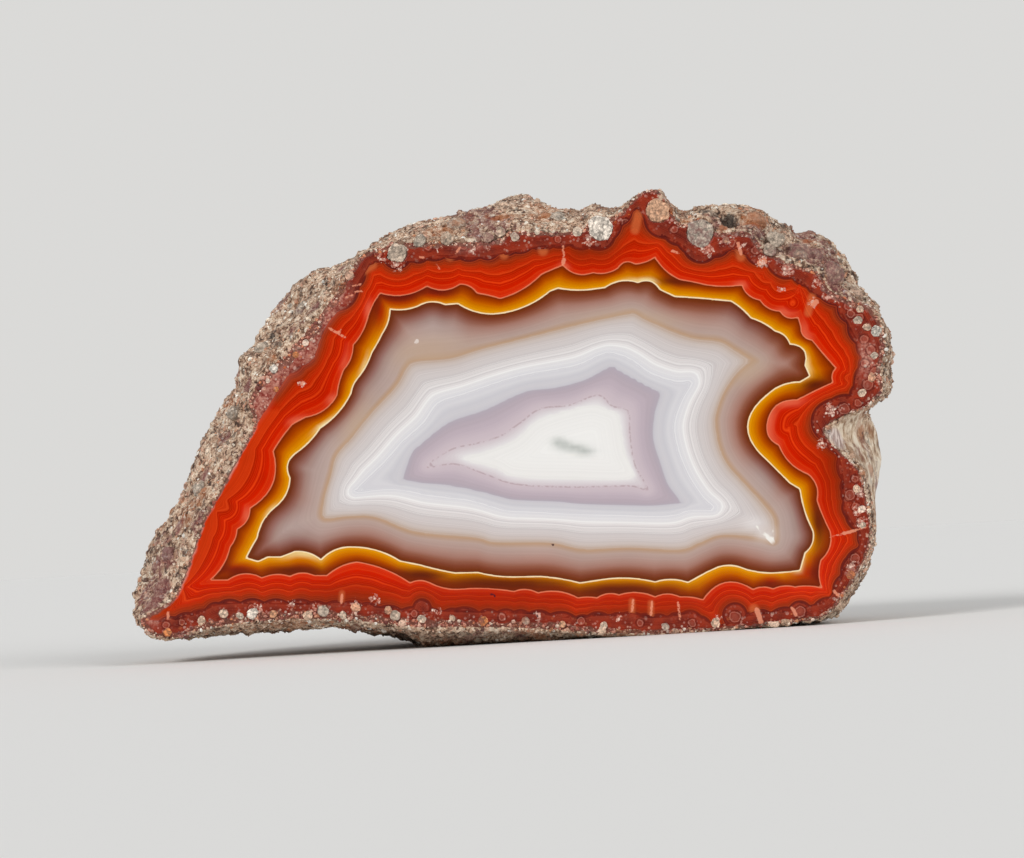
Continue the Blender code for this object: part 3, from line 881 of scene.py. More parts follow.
# short strokes: x and z of both ends, and half width
faceStrokes = {
    # pale healed cracks and flecks in the red
    "pale": [
        (5.1, 18.3, 5.2, 17.0, 0.05), (5.2, 17.0, 5.1, 16.5, 0.12), (-18.3, 10.1, -17.5, 9.6, 0.06),
        (-17.5, 9.6, -16.7, 9.2, 0.06), (-17.5, 9.6, -17.1, 9.9, 0.05), (31.8, -10.8, 33.2, -10.45, 0.02),
        (33.1, -10.45, 34.3, -10.15, 0.1), (34.2, -10.15, 35.6, -9.75, 0.04), (-9.6, 8.7, -9.5, 8.8, 0.14),
        (-21.0, 4.5, -20.9, 4.6, 0.14), (30.2, 12.5, 30.4, 12.7, 0.24), (24.8, 16.6, 25.2, 16.8, 0.28),
        (-17.0, -16.6, -17.05, -17.4, 0.09), (-34.4, -18.3, -34.4, -19.0, 0.08),
        (12.1, -17.1, 12.0, -18.3, 0.07), (14.0, -17.3, 13.9, -18.6, 0.07),
        (16.6, -17.3, 16.8, -19.0, 0.06), (24.5, -18.1, 24.9, -19.3, 0.2), (28.0, -17.9, 28.4, -18.6, 0.12),
        (32.2, -16.2, 32.8, -16.8, 0.1), (-5.6, 17.6, -5.2, 18.2, 0.06), (22.9, 17.5, 22.6, 18.6, 0.12),
        (-7.6, 16.5, -7.2, 15.9, 0.03), (-9.2, 17.2, -8.8, 17.1, 0.08), (16.0, 17.8, 16.6, 17.6, 0.08),
        (-15.9, 14.3, -15.1, 14.5, 0.04), (-15.7, 13.7, -15.0, 13.8, 0.04),
        (-16.6, 13.2, -15.9, 13.4, 0.04),
    ],
    # warm soft streaks that run in from the rind
    "streak": [
        (-6.2, 18.4, -6.2, 17.2, 0.28), (-0.6, 18.6, -0.8, 17.4, 0.3), (2.9, 18.8, 3.1, 17.8, 0.35),
        (22.6, 18.9, 22.9, 17.2, 0.3), (24.2, -18.0, 24.8, -19.6, 0.35), (12.0, -17.2, 12.0, -18.8, 0.15),
        (13.9, -17.4, 13.9, -19.0, 0.15), (-17.0, -16.4, -17.1, -17.6, 0.12),
        (30.0, 13.2, 29.6, 11.6, 0.25), (12.6, 21.4, 12.3, 19.9, 0.3), (-15.2, 15.7, -14.0, 16.4, 0.35),
    ],
    # the white spear at the lower right corner of the pale bands
    "spear": [
        (24.4, -9.6, 25.3, -10.6, 0.07), (25.2, -10.5, 26.1, -11.35, 0.15),
        (26.0, -10.0, 26.15, -11.2, 0.05), (25.8, -10.9, 26.1, -11.3, 0.14), (4.9, -2.7, 6.6, -2.55, 0.0),
        (6.6, -2.55, 8.1, -2.8, 0.0),
    ],
}

# round marks: x, z, radius
faceRounds = {
    # pebbles in the polished ground, seen as rings
    "ringPebbles": [
        (33.7, 12.3, 0.42), (33.9, 11.5, 0.34), (34.8, 11.2, 0.3), (36.3, 5.7, 0.42), (35.6, 4.4, 0.45),
        (35.9, 7.9, 0.4), (35.2, 9.0, 0.36), (35.3, 6.6, 0.3), (34.6, 2.6, 0.3), (33.2, 2.0, 0.5),
        (33.8, -6.6, 0.45), (34.3, -5.0, 0.3), (34.4, -7.8, 0.35), (34.9, -9.2, 0.3), (34.3, -12.9, 0.4),
        (28.8, -18.3, 0.5), (22.3, -18.8, 0.5), (24.4, 17.9, 0.4), (27.4, 16.2, 0.3), (22.0, 18.6, 0.3),
        (16.2, 20.0, 0.3), (11.4, 20.6, 0.35), (4.6, 19.0, 0.3), (-4.9, 18.3, 0.3), (-8.4, 18.2, 0.32),
        (-13.4, 17.6, 0.35), (-17.2, 14.0, 0.25), (-34.6, -19.6, 0.3), (-26.0, -17.9, 0.3),
        (-9.8, -18.5, 0.3), (-1.0, -18.8, 0.3), (6.9, -19.2, 0.35), (12.8, -19.4, 0.3), (18.0, -19.4, 0.35),
        (-33.0, -19.3, 0.25),
    ],
    # sugary pale clusters
    "clusters": [
        (19.5, 17.9, 0.6), (27.5, 16.1, 0.62), (25.0, 16.7, 0.46), (30.1, 12.6, 0.32), (30.9, -1.5, 0.45),
        (-13.7, -17.0, 0.4), (-21.0, 4.5, 0.26), (7.7, 18.8, 0.5), (21.2, 18.8, 0.4), (-11.5, 16.4, 0.5),
        (-12.9, 17.0, 0.32), (-7.5, 18.2, 0.34), (-4.1, 18.0, 0.3), (-2.6, 18.3, 0.28), (35.0, -6.2, 0.5),
        (34.7, -8.2, 0.45), (34.9, -9.4, 0.35), (33.9, -13.7, 0.45), (31.9, 1.9, 0.55), (32.7, -17.0, 0.3),
        (-28.9, -18.4, 0.35), (-25.3, -17.9, 0.35), (-22.0, -17.6, 0.3), (-19.7, -17.9, 0.35),
        (26.9, 14.0, 0.25), (31.6, 13.2, 0.35), (32.6, 12.9, 0.3), (30.5, 14.7, 0.4), (23.2, 18.3, 0.3),
        (-15.6, -17.5, 0.4), (-7.6, -18.3, 0.3), (2.6, -18.7, 0.3), (10.6, -18.9, 0.3), (20.6, -19.0, 0.3),
    ],
}

# soft spots: x, z, half width, half height
faceSpots = {
    # dark flecks
    "dark": [
        (-2.0, -16.5, 0.28, 0.12), (-1.7, -16.7, 0.1, 0.12), (4.1, -11.6, 0.15, 0.1),
        (-23.7, -7.1, 0.09, 0.09), (26.6, -11.7, 0.1, 0.1), (-8.4, 17.5, 0.1, 0.08),
        (12.9, 15.7, 0.08, 0.06), (20.8, 13.5, 0.07, 0.06), (17.4, -7.6, 0.16, 0.1),
        (-19.1, 2.5, 0.07, 0.06), (2.6, -18.6, 0.2, 0.3),
    ],
    # the grey-green hollow look of the very middle
    "void": [(5.2, -1.6, 0.9, 0.42), (6.2, -1.9, 1.3, 0.4), (4.7, -1.3, 0.7, 0.4), (7.2, -2.3, 1.0, 0.3)],
    "voidSpot": [(8.2, -2.8, 0.12, 0.1)],
    # the spear's pale inside, and the white about it
    "spearFill": [(25.5, -10.1, 0.5, 0.35)],
    "glow": [(25.3, -10.4, 1.0, 0.8), (24.2, -9.5, 1.2, 0.7)],
    # where the amber band turns red, stays dark brown, or is palest at its lobes
    "amberRed": [
        (-11.3, 13.2, 3.4, 1.5), (-13.2, 11.8, 0.9, 2.2), (-27.8, -14.0, 2.2, 0.7), (29.6, -14.4, 2.2, 1.4),
        (-7.8, 13.6, 2.6, 0.9), (25.9, -15.3, 1.2, 0.8),
    ],
    "amberDark": [
        (-0.5, -15.4, 9.5, 1.4), (10.5, -16.2, 7.0, 1.1), (-9.0, -14.6, 4.0, 0.8), (-21.5, -14.2, 3.2, 0.6),
        (30.6, -9.6, 0.9, 3.0), (30.4, 4.4, 2.2, 0.9), (17.0, 14.8, 3.0, 0.5),
    ],
    "amberPale": [
        (-21.0, -12.7, 1.6, 0.6), (29.2, 6.3, 0.8, 0.9), (-19.2, 0.6, 1.6, 0.9), (13.2, 14.9, 1.6, 0.3),
        (-15.0, 7.2, 0.5, 1.6), (28.6, -13.2, 0.5, 1.2), (-24.0, -9.0, 0.6, 1.4),
    ],
    # warm and cool drifts of the grey bands
    "greyWarm": [
        (-9.0, 7.8, 5.0, 2.0), (-15.5, 0.0, 2.0, 4.0), (12.0, 10.9, 5.0, 1.0), (23.5, 5.8, 2.5, 1.5),
    ],
    "greyCool": [
        (-22.0, -10.0, 4.5, 3.5), (-18.5, -3.5, 4.0, 5.0), (-13.0, 6.0, 4.0, 5.0), (-8.0, 10.5, 3.5, 2.0),
        (28.0, -9.5, 2.6, 4.0), (25.0, -5.0, 2.0, 3.0), (24.0, 11.5, 3.0, 2.0),
    ],
    # where the ground is dusty pink, not dark
    "dusty": [
        (-25.2, 3.2, 1.8, 2.6), (-23.4, 5.6, 2.2, 2.4), (-20.8, 8.6, 2.2, 2.4), (-18.6, 11.4, 1.8, 2.0),
        (-17.6, 13.4, 1.2, 1.4), (-36.0, -18.6, 1.0, 1.0), (35.4, 7.0, 0.8, 1.6), (-4.2, 18.4, 1.2, 0.6),
    ],
    # where the red is deeper
    "deep": [
        (-2.0, -17.0, 12.0, 1.7), (14.0, -17.6, 9.0, 1.6), (-16.0, -16.6, 6.0, 1.4), (7.0, 17.6, 4.0, 1.5),
        (32.0, -4.0, 1.6, 5.0),
    ],
    # wide salmon glow in the bays of the bright line
    "salmon": [
        (27.4, 11.7, 1.0, 0.45), (29.4, 9.6, 0.6, 1.2), (25.8, 0.4, 0.9, 2.6), (27.6, 2.6, 1.8, 0.6),
        (22.9, 14.4, 0.7, 0.4), (-16.9, 7.4, 0.45, 1.4), (-21.4, 0.8, 1.2, 0.5), (5.2, 16.2, 0.5, 0.4),
        (-18.0, 3.0, 0.7, 0.5), (28.9, -5.6, 0.7, 0.8), (-26.6, -8.6, 0.5, 0.8), (-14.4, 12.0, 0.4, 1.0),
    ],
}


def faceLines():
    # all the lines, from the sawn edge inwards
    lines = [sawnEdge, smoothCurve(face["rindLine"], face["rindPoints"])]
    for name in ("pinkLine", "creamLine"):
        lines.append(evenly(alongArcs(face[name], 10), face["arcPoints"]))
    for name in ("tanLine", "blueLine", "lilacLine", "dottedLine", "coreLine"):
        lines.append(smoothCurve(face[name], face["palePoints"]))
    return lines


def buildBody():
    # one closed skin: the rind's loft, its ridge, and the sawn face
    stations, rings = skin.shape[:2]
    lines = faceLines()
    inner = facePoints(lines[4])
    points, edges = list(map(Vector, sawnEdge)), [(i, (i + 1) % stations) for i in range(stations)]
    points += list(map(Vector, inner))
    flatPoints, _, flatFaces, origin, _, _ = geometry.delaunay_2d_cdt(points, edges, [], 1, 1e-7)
    flatPoints = np.array(flatPoints)
    print("face points", len(flatPoints))

    number = np.arange(stations * rings).reshape(stations, rings)
    rindPoints = skin.reshape(-1, 3)
    # the face's points: those of the sawn edge are the skin's own
    faceNumber = np.zeros(len(flatPoints), dtype=int)
    extra = []
    for index, sources in enumerate(origin):
        edgeSource = [source for source in sources if source < stations]
        if edgeSource:
            faceNumber[index] = number[edgeSource[0], 0]
        else:
            faceNumber[index] = len(rindPoints) + len(extra)
            extra.append(index)
    extraPoints = flatPoints[extra]
    sunk = faceDepth(extraPoints, distanceTo(extraPoints, sawnEdge))
    places = np.vstack((rindPoints, np.stack((extraPoints[:, 0], sunk, extraPoints[:, 1]), axis=1)))

    a, b = number[:, :-1], np.roll(number, -1, axis=0)[:, :-1]
    c, d = np.roll(number, -1, axis=0)[:, 1:], number[:, 1:]
    triangles = [np.stack((a, d, c), axis=-1).reshape(-1, 3), np.stack((a, c, b), axis=-1).reshape(-1, 3)]
    triangles.append(number[:, -1][ridgeTriangles(skin[:, -1, 0])])
    rindCount = sum(map(len, triangles))
    faceTriangles = faceNumber[np.array([list(corner) for corner in flatFaces])]
    corners = places[faceTriangles]
    turn = np.cross(corners[:, 1] - corners[:, 0], corners[:, 2] - corners[:, 0])[:, 1]
    faceTriangles[turn > 0] = faceTriangles[turn > 0][:, ::-1]
    triangles.append(faceTriangles)
    onGround = standUp(places)
    onGround[:, 2] = np.maximum(onGround[:, 2], 0.0)
    mesh = meshFromTriangles("agateStone", onGround, np.vstack(triangles))
    slots = np.zeros(len(mesh.polygons), dtype=np.int32)
    slots[:rindCount] = 1
    mesh.polygons.foreach_set("material_index", slots)
    addFaceValues(mesh, places, stations * rings, lines)
    work = bmesh.new()
    work.from_mesh(mesh)
    bmesh.ops.recalc_face_normals(work, faces=work.faces)
    work.to_mesh(mesh)
    work.free()
    return mesh


def ridgeTriangles(x):
    # joins the two sides of the last ring across the narrow gap along the back's ridge
    count = len(x)
    left, right = int(np.argmin(x)), int(np.argmax(x))
    above = [(left + step) % count for step in range((right - left) % count + 1)]
    below = [(left - step) % count for step in range((left - right) % count + 1)]
    triangles, upper, lower = [], 0, 0
    while upper < len(above) - 1 or lower < len(below) - 1:
        lastBelow = lower == len(below) - 1
        if lastBelow or (upper < len(above) - 1 and x[above[upper + 1]] <= x[below[lower + 1]]):
            triangles.append((above[upper], above[upper + 1], below[lower]))
            upper += 1
        else:
            triangles.append((above[upper], below[lower + 1], below[lower]))
            lower += 1
    return np.array([corners for corners in triangles if len(set(corners)) == 3])


def addFaceValues(mesh, places, skinCount, lines):
    # the values that colour the face, and those that colour the rind
    onFace = np.arange(len(places)) >= skinCount
    onFace[np.arange(0, skinCount, skin.shape[1])] = True
    points = places[onFace][:, [0, 2]]
    band, fromRind, signed = bandValues(points, lines)
    band += flatNoise(points, 2.6, 5.0) * 0.03 * ((band > 1.05) & (band < 1.9))
    values = {"band": band, "fromEdge": np.abs(signed[0]), "fromRind": fromRind}
    values.update({"fromPink": signed[2], "fromCream": signed[3], "fromDotted": signed[7]})
    values.update({name: alongStrokes(points, marks) for name, marks in faceStrokes.items()})
    values.update({name: nearPlaces(points, marks) for name, marks in faceSpots.items()})
    for name, marks in faceRounds.items():
        marks = np.array(marks)
        away = np.linalg.norm(points[:, None] - marks[None, :, :2], axis=2) - marks[:, 2]
        values[name] = away.min(axis=1)
    for name, some in values.items():
        whole = np.zeros(len(places))
        whole[onFace] = some
        addValues(mesh, name, whole)
    for name, some in stainAndShadeValues(places).items():
        addValues(mesh, name, np.where(onFace, 0, some))
    # 1 along the slanted left side, where the red reaches the sawn edge
    inFromLeft = places[:, 0] + 25.7 - 0.472 * places[:, 2]
    leftSide = smoothStep(-inFromLeft, -4.5, -2.5) * smoothStep(places[:, 2], -19.0, -16.0)
    addValues(mesh, "leftSide", leftSide * smoothStep(-places[:, 2], -4.0, -1.5))
    addValues(mesh, "sunk", np.where(onFace, places[:, 1], 0))


# The polished face's colours

polish = {
    "roughness": 0.09,
    "ior": 1.54,
    "shine": 0.06,
    "red": [
        (0.0, (84, 28, 28)), (0.06, (110, 34, 22)), (0.14, (146, 46, 16)), (0.24, (172, 40, 4)),
        (0.36, (190, 34, 2)), (0.42, (206, 54, 12)), (0.46, (182, 30, 0)), (0.6, (196, 28, 0)),
        (0.64, (222, 62, 16)), (0.68, (196, 26, 0)), (0.84, (206, 32, 0)), (0.95, (208, 38, 4)),
        (1.0, (218, 60, 22)),
    ],
    "amber": [
        (0.0, (150, 54, 18)), (0.06, (124, 40, 4)), (0.16, (146, 50, 2)), (0.3, (170, 66, 0)),
        (0.45, (190, 88, 0)), (0.6, (208, 114, 0)), (0.8, (218, 136, 2)), (0.93, (226, 154, 18)),
        (1.0, (238, 190, 90)),
    ],
    "amberRed": [
        (0.0, (96, 26, 18)), (0.12, (108, 26, 14)), (0.35, (132, 36, 14)), (0.58, (172, 46, 4)),
        (0.85, (190, 66, 12)), (1.0, (222, 120, 46)),
    ],
    "amberDark": [
        (0.0, (150, 54, 30)), (0.07, (108, 36, 12)), (0.35, (102, 36, 14)), (0.6, (112, 42, 8)),
        (0.8, (138, 60, 2)), (0.93, (174, 92, 6)), (1.0, (224, 168, 84)),
    ],
    "grey": [
        (0.0, (106, 46, 18)), (0.1, (118, 54, 24)), (0.2, (132, 68, 46)), (0.32, (150, 94, 74)),
        (0.42, (165, 118, 103)), (0.5, (174, 132, 119)), (0.6, (178, 142, 130)), (0.72, (183, 154, 144)),
        (0.86, (187, 162, 152)), (0.95, (188, 158, 138)), (1.0, (188, 154, 126)),
    ],
    "greyCool": [
        (0.0, (104, 44, 22)), (0.08, (112, 54, 36)), (0.18, (134, 84, 72)), (0.28, (152, 110, 102)),
        (0.42, (168, 140, 132)), (0.6, (181, 158, 151)), (0.88, (188, 166, 158)), (0.95, (188, 158, 138)),
        (1.0, (188, 154, 126)),
    ],
    "white": [
        (0.0, (188, 154, 126)), (0.05, (192, 167, 149)), (0.13, (203, 188, 180)), (0.25, (208, 198, 195)),
        (0.38, (212, 204, 202)), (0.44, (206, 198, 197)), (0.54, (218, 211, 210)), (0.6, (224, 218, 217)),
        (0.64, (216, 210, 210)), (0.69, (232, 227, 226)), (0.76, (240, 238, 237)), (0.8, (222, 219, 221)),
        (0.85, (232, 230, 231)), (0.92, (220, 218, 222)), (1.0, (216, 214, 218)),
    ],
    "middle": [
        (0.0, (216, 214, 218)), (0.05, (221, 219, 222)), (0.11, (209, 207, 212)), (0.19, (211, 208, 212)),
        (0.24, (204, 201, 207)), (0.255, (184, 174, 184)), (0.31, (187, 173, 182)), (0.38, (196, 181, 190)),
        (0.44, (205, 190, 197)), (0.49, (209, 194, 200)), (0.52, (212, 199, 204)), (0.6, (220, 211, 214)),
        (0.7, (230, 225, 226)), (0.755, (240, 238, 235)), (1.0, (245, 244, 241)),
    ],
    "pinkLine": ((236, 132, 96), 0.8),
    "creamLine": ((252, 228, 186), 0.95),
    "ground": [(0.0, (62, 18, 20)), (0.35, (102, 32, 26)), (0.6, (142, 44, 27)), (1.0, (178, 60, 34))],
    "pebbles": [
        (0.0, (214, 142, 128)), (0.3, (226, 186, 172)), (0.5, (176, 92, 74)), (0.66, (232, 216, 200)),
        (0.82, (206, 108, 54)), (1.0, (150, 96, 90)),
    ],
    "brokenRim": [(0.0, (66, 34, 30)), (0.5, (122, 78, 66)), (1.0, (176, 132, 112))],
    "dust": ((134, 58, 52), (208, 150, 132)),
    "sugar": ((214, 142, 122), (246, 220, 202)),
    "pale": ((240, 156, 124), (236, 224, 216)),  # in the coloured bands, in the grey ones
    "leftRed": 0.425,  # how far in the red's tones start along the left side
    "greyRise": 0.25,  # how fast the grey clears up away from the cream line
    "greyTop": 0.86,
    # layers over the bands: tone and strength
    "innerRedLines": ((236, 76, 28), 0.4),
    "outerRedLines": ((204, 78, 38), 0.42),
    "deepRed": ((138, 34, 6), 0.5),
    "streaks": ((214, 108, 60), 0.6),
    "softRed": ((190, 84, 62), 0.85),
    "amberLobes": ((244, 220, 160), 1.0),
    "warmGrey": ((194, 166, 142), 0.65),
    "whiteLines": ((248, 247, 245), 1.0),
    "groundLines": ((170, 74, 50), 0.55),
    "ringInside": ((170, 90, 74), 0.45),
    "ringRim": ((214, 150, 130), 0.4),
    "ringShade": ((52, 18, 22), 0.45),
    "pinkGlow": ((236, 90, 50), 0.1),
    "salmonBays": ((232, 106, 76), 0.8),
    "dots": ((178, 150, 156), 0.6),
    "glow": ((238, 233, 231), 0.6),
    "spearFill": ((206, 188, 178), 0.55),
    "spear": ((250, 247, 240), 0.9),
    "dark": ((58, 28, 40), 0.85),
    "void": ((172, 178, 172), 1.0),
    "voidSpot": ((206, 132, 70), 1.0),
    "haze": ((214, 148, 130), 0.85),
}


def zone(tree, start, width=1.0):
    # 0 to 1 from one line of the face to the next
    return calc(tree, "DIVIDE", minus(tree, attributeValue(tree, "band"), start), width, clamp=True)


def inside(tree, start):
    return remap(tree, attributeValue(tree, "band"), start - 0.004, start + 0.004)


def bandLines(tree, value, count, sharpness):
    return useGroup(tree, fineBands, Value=value, Count=count, Sharpness=sharpness)["Lines"]


def thinLines(tree, value, count):
    return useGroup(tree, fineBands, Value=value, Count=count)["Thin"]


def paintGround(tree, place):
    # the dark pebbly ground near the rind
    fromRind, dusty = attributeValue(tree, "fromRind"), attributeValue(tree, "dusty")
    tone = noiseTexture(tree, place, 1.3, 3.0)
    ground = colourRamp(tree, tone, polish["ground"])
    ground = shaded(tree, ground, bandLines(tree, fromRind, 9.0, 2.2), 0.7)
    ground = over(tree, ground, thinLines(tree, fromRind, 6.0), polish["groundLines"])
    dust = remap(tree, noiseTexture(tree, place, 0.45, 4.0, 0.7), 0.36, 0.64)
    dust = blendColours(tree, dust, *(eyeColour(*end) for end in polish["dust"]))
    ground = blendColours(tree, times(tree, dusty, remap(tree, tone, 0.25, 0.6, 0.7, 1.0)), ground, dust)
    for size, fill in ((0.9, 0.26), (0.42, 0.3)):
        cells = useGroup(tree, pebbleCells, Vector=place, Size=size, Fill=fill)
        pebble = colourRamp(tree, cells["Tone"], polish["pebbles"])
        pebble = shaded(tree, pebble, ripple(tree, place, 0.16), 1.2)
        patches = remap(tree, noiseTexture(tree, place, 1.6, 2.0), 0.4, 0.58, 0.15, 1.0)
        some = times(tree, remap(tree, attributeValue(tree, "fromEdge"), 0.3, 1.5, 0.75, 0.16), patches)
        some = calc(tree, "MAXIMUM", some, times(tree, dusty, 0.8))
        ground = blendColours(tree, times(tree, cells["Pebble"], some), ground, pebble)
    ring = plus(tree, attributeValue(tree, "ringPebbles"), times(tree, ripple(tree, place, 0.5), 0.4))
    fromRim = calc(tree, "ABSOLUTE", ring)
    fromShade = calc(tree, "ABSOLUTE", minus(tree, ring, 0.16))
    ground = over(tree, ground, remap(tree, ring, -0.3, 0.05, 1.0, 0.0), polish["ringInside"])
    ground = over(tree, ground, remap(tree, fromRim, 0.0, 0.08, 1.0, 0.0), polish["ringRim"])
    return over(tree, ground, remap(tree, fromShade, 0.02, 0.09, 1.0, 0.0), polish["ringShade"])


def paintRed(tree, place):
    # the red bands, fewer and straighter along the slanted left side
    share, leftSide = zone(tree, 1.0), attributeValue(tree, "leftSide")
    fromRind = attributeValue(tree, "fromRind")
    started = calc(tree, "MAXIMUM", share, times(tree, leftSide, polish["leftRed"]))
    red = colourRamp(tree, started, polish["red"])
    red = shaded(tree, red, bandLines(tree, share, 12.0, 1.5), 0.32)
    nearRind = remap(tree, fromRind, 0.9, 1.6, 1.0, 0.0)
    nearRind = times(tree, nearRind, minus(tree, 1.0, times(tree, leftSide, 0.8)))
    red = shaded(tree, red, times(tree, bandLines(tree, fromRind, 6.0, 2.0), nearRind), 0.34)
    red = shaded(tree, red, ripple(tree, place, 3.2, 3.0), 0.4)
    innerLines = times(tree, thinLines(tree, share, 7.0), remap(tree, share, 0.1, 0.35))
    red = over(tree, red, innerLines, polish["innerRedLines"])
    red = over(tree, red, times(tree, thinLines(tree, fromRind, 4.5), nearRind), polish["outerRedLines"])
    red = over(tree, red, attributeValue(tree, "deep"), polish["deepRed"])
    streak = remap(tree, attributeValue(tree, "streak"), -0.1, 0.35, 1.0, 0.0)
    red = over(tree, red, streak, polish["streaks"])
    softEdge = times(tree, attributeValue(tree, "dusty"), remap(tree, share, 0.0, 0.22, 1.0, 0.0))
    return over(tree, red, softEdge, polish["softRed"])


def paintAmber(tree):
    share = zone(tree, 2.0)
    amber = colourRamp(tree, share, polish["amber"])
    for name in ("amberDark", "amberRed"):
        amber = blendColours(tree, attributeValue(tree, name), amber, colourRamp(tree, share, polish[name]))
    amber = shaded(tree, amber, bandLines(tree, share, 9.0, 1.2), 0.3)
    lobes = times(tree, attributeValue(tree, "amberPale"), remap(tree, share, 0.62, 1.0))
    return over(tree, amber, lobes, polish["amberLobes"])


def paintGrey(tree, drift):
    # the grey clears up at the same distance from the cream line all round
    share = zone(tree, 3.0)
    cleared = times(tree, attributeValue(tree, "fromCream"), polish["greyRise"])
    cleared = calc(tree, "MAXIMUM", share, calc(tree, "MINIMUM", cleared, polish["greyTop"]))
    grey, cool = (colourRamp(tree, cleared, polish[name]) for name in ("grey", "greyCool"))
    grey = blendColours(tree, attributeValue(tree, "greyCool"), grey, cool)
    grey = shaded(tree, grey, bandLines(tree, share, 11.0, 1.0), 0.16)
    grey = shaded(tree, grey, drift, 0.22)
    warm = times(tree, attributeValue(tree, "greyWarm"), remap(tree, share, 0.25, 0.8))
    return over(tree, grey, warm, polish["warmGrey"])


def paintWhite(tree):
    share = zone(tree, 4.0)
    white = colourRamp(tree, share, polish["white"])
    white = shaded(tree, white, bandLines(tree, share, 26.0, 1.4), 0.2)
    bright = times(tree, thinLines(tree, share, 20.0), remap(tree, share, 0.3, 0.55, 0.1, 0.5))
    return over(tree, white, bright, polish["whiteLines"])


def paintMiddle(tree):
    share = zone(tree, 5.0, 4.0)
    return shaded(tree, colourRamp(tree, share, polish["middle"]), bandLines(tree, share, 44.0, 1.2), 0.07)


def paintLines(tree, place, colour):
    # the bright lines between the zones, with a glow on the red's side of the pink one, and the dotted line
    fromPink, fromCream = attributeValue(tree, "fromPink"), attributeValue(tree, "fromCream")
    wobble = times(tree, noiseTexture(tree, place, 0.9, 2.0), 0.06)
    redSide = remap(tree, fromPink, 0.0, 0.08, 1.0, 0.0)
    glow = times(tree, remap(tree, fromPink, -0.7, -0.02), redSide)
    colour = over(tree, colour, glow, polish["pinkGlow"])
    bays = times(tree, remap(tree, fromPink, -1.1, -0.05), redSide)
    bays = times(tree, bays, attributeValue(tree, "salmon"))
    colour = over(tree, colour, bays, polish["salmonBays"])
    pinkLine = minus(tree, calc(tree, "ABSOLUTE", fromPink), wobble)
    colour = over(tree, colour, remap(tree, pinkLine, -0.01, 0.065, 1.0, 0.0), polish["pinkLine"])
    creamLine = minus(tree, calc(tree, "ABSOLUTE", fromCream), wobble)
    colour = over(tree, colour, remap(tree, creamLine, 0.0, 0.07, 1.0, 0.0), polish["creamLine"])
    dots = remap(tree, noiseTexture(tree, place, 0.32, 1.0), 0.38, 0.6)
    fromDotted = calc(tree, "ABSOLUTE", attributeValue(tree, "fromDotted"))
    dots = times(tree, remap(tree, fromDotted, 0.02, 0.13, 1.0, 0.0), dots)
    return over(tree, colour, dots, polish["dots"])


def paintFlecks(tree, place, colour, drift):
    # healed cracks, flecks, the spear, and the middle's hollow look
    rough = times(tree, ripple(tree, place, 0.22), 0.22)
    pale = remap(tree, plus(tree, attributeValue(tree, "pale"), rough), 0.0, 0.09, 0.75, 0.0)
    paleTone = blendColours(tree, inside(tree, 3.0), *(eyeColour(*tone) for tone in polish["pale"]))
    colour = blendColours(tree, pale, colour, paleTone)
    colour = over(tree, colour, attributeValue(tree, "glow"), polish["glow"])
    colour = over(tree, colour, attributeValue(tree, "spearFill"), polish["spearFill"])
    spear = remap(tree, attributeValue(tree, "spear"), -0.03, 0.12, 1.0, 0.0)
    colour = over(tree, colour, spear, polish["spear"])
    dark = remap(tree, plus(tree, attributeValue(tree, "dark"), rough), 0.35, 0.6)
    colour = over(tree, colour, dark, polish["dark"])
    hollow = times(tree, attributeValue(tree, "void"), remap(tree, drift, -0.25, 0.25, 0.8, 1.0))
    colour = over(tree, colour, hollow, polish["void"])
    return over(tree, colour, attributeValue(tree, "voidSpot"), polish["voidSpot"])


def paintClusters(tree, place, colour):
    # sugary clusters made of granules
    reach = remap(tree, noiseTexture(tree, place, 0.5, 3.0, 0.6), 0.36, 0.64, -0.34, 0.3)
    away = minus(tree, attributeValue(tree, "clusters"), reach)
    cells = useGroup(tree, pebbleCells, Vector=place, Size=0.3, Fill=0.62)
    granules = plus(tree, times(tree, cells["Pebble"], 0.65), 0.3)
    tone = blendColours(tree, cells["Tone"], *(eyeColour(*end) for end in polish["sugar"]))
    share = times(tree, remap(tree, away, -0.08, 0.06, 0.95, 0.0), granules)
    return blendColours(tree, share, colour, tone)


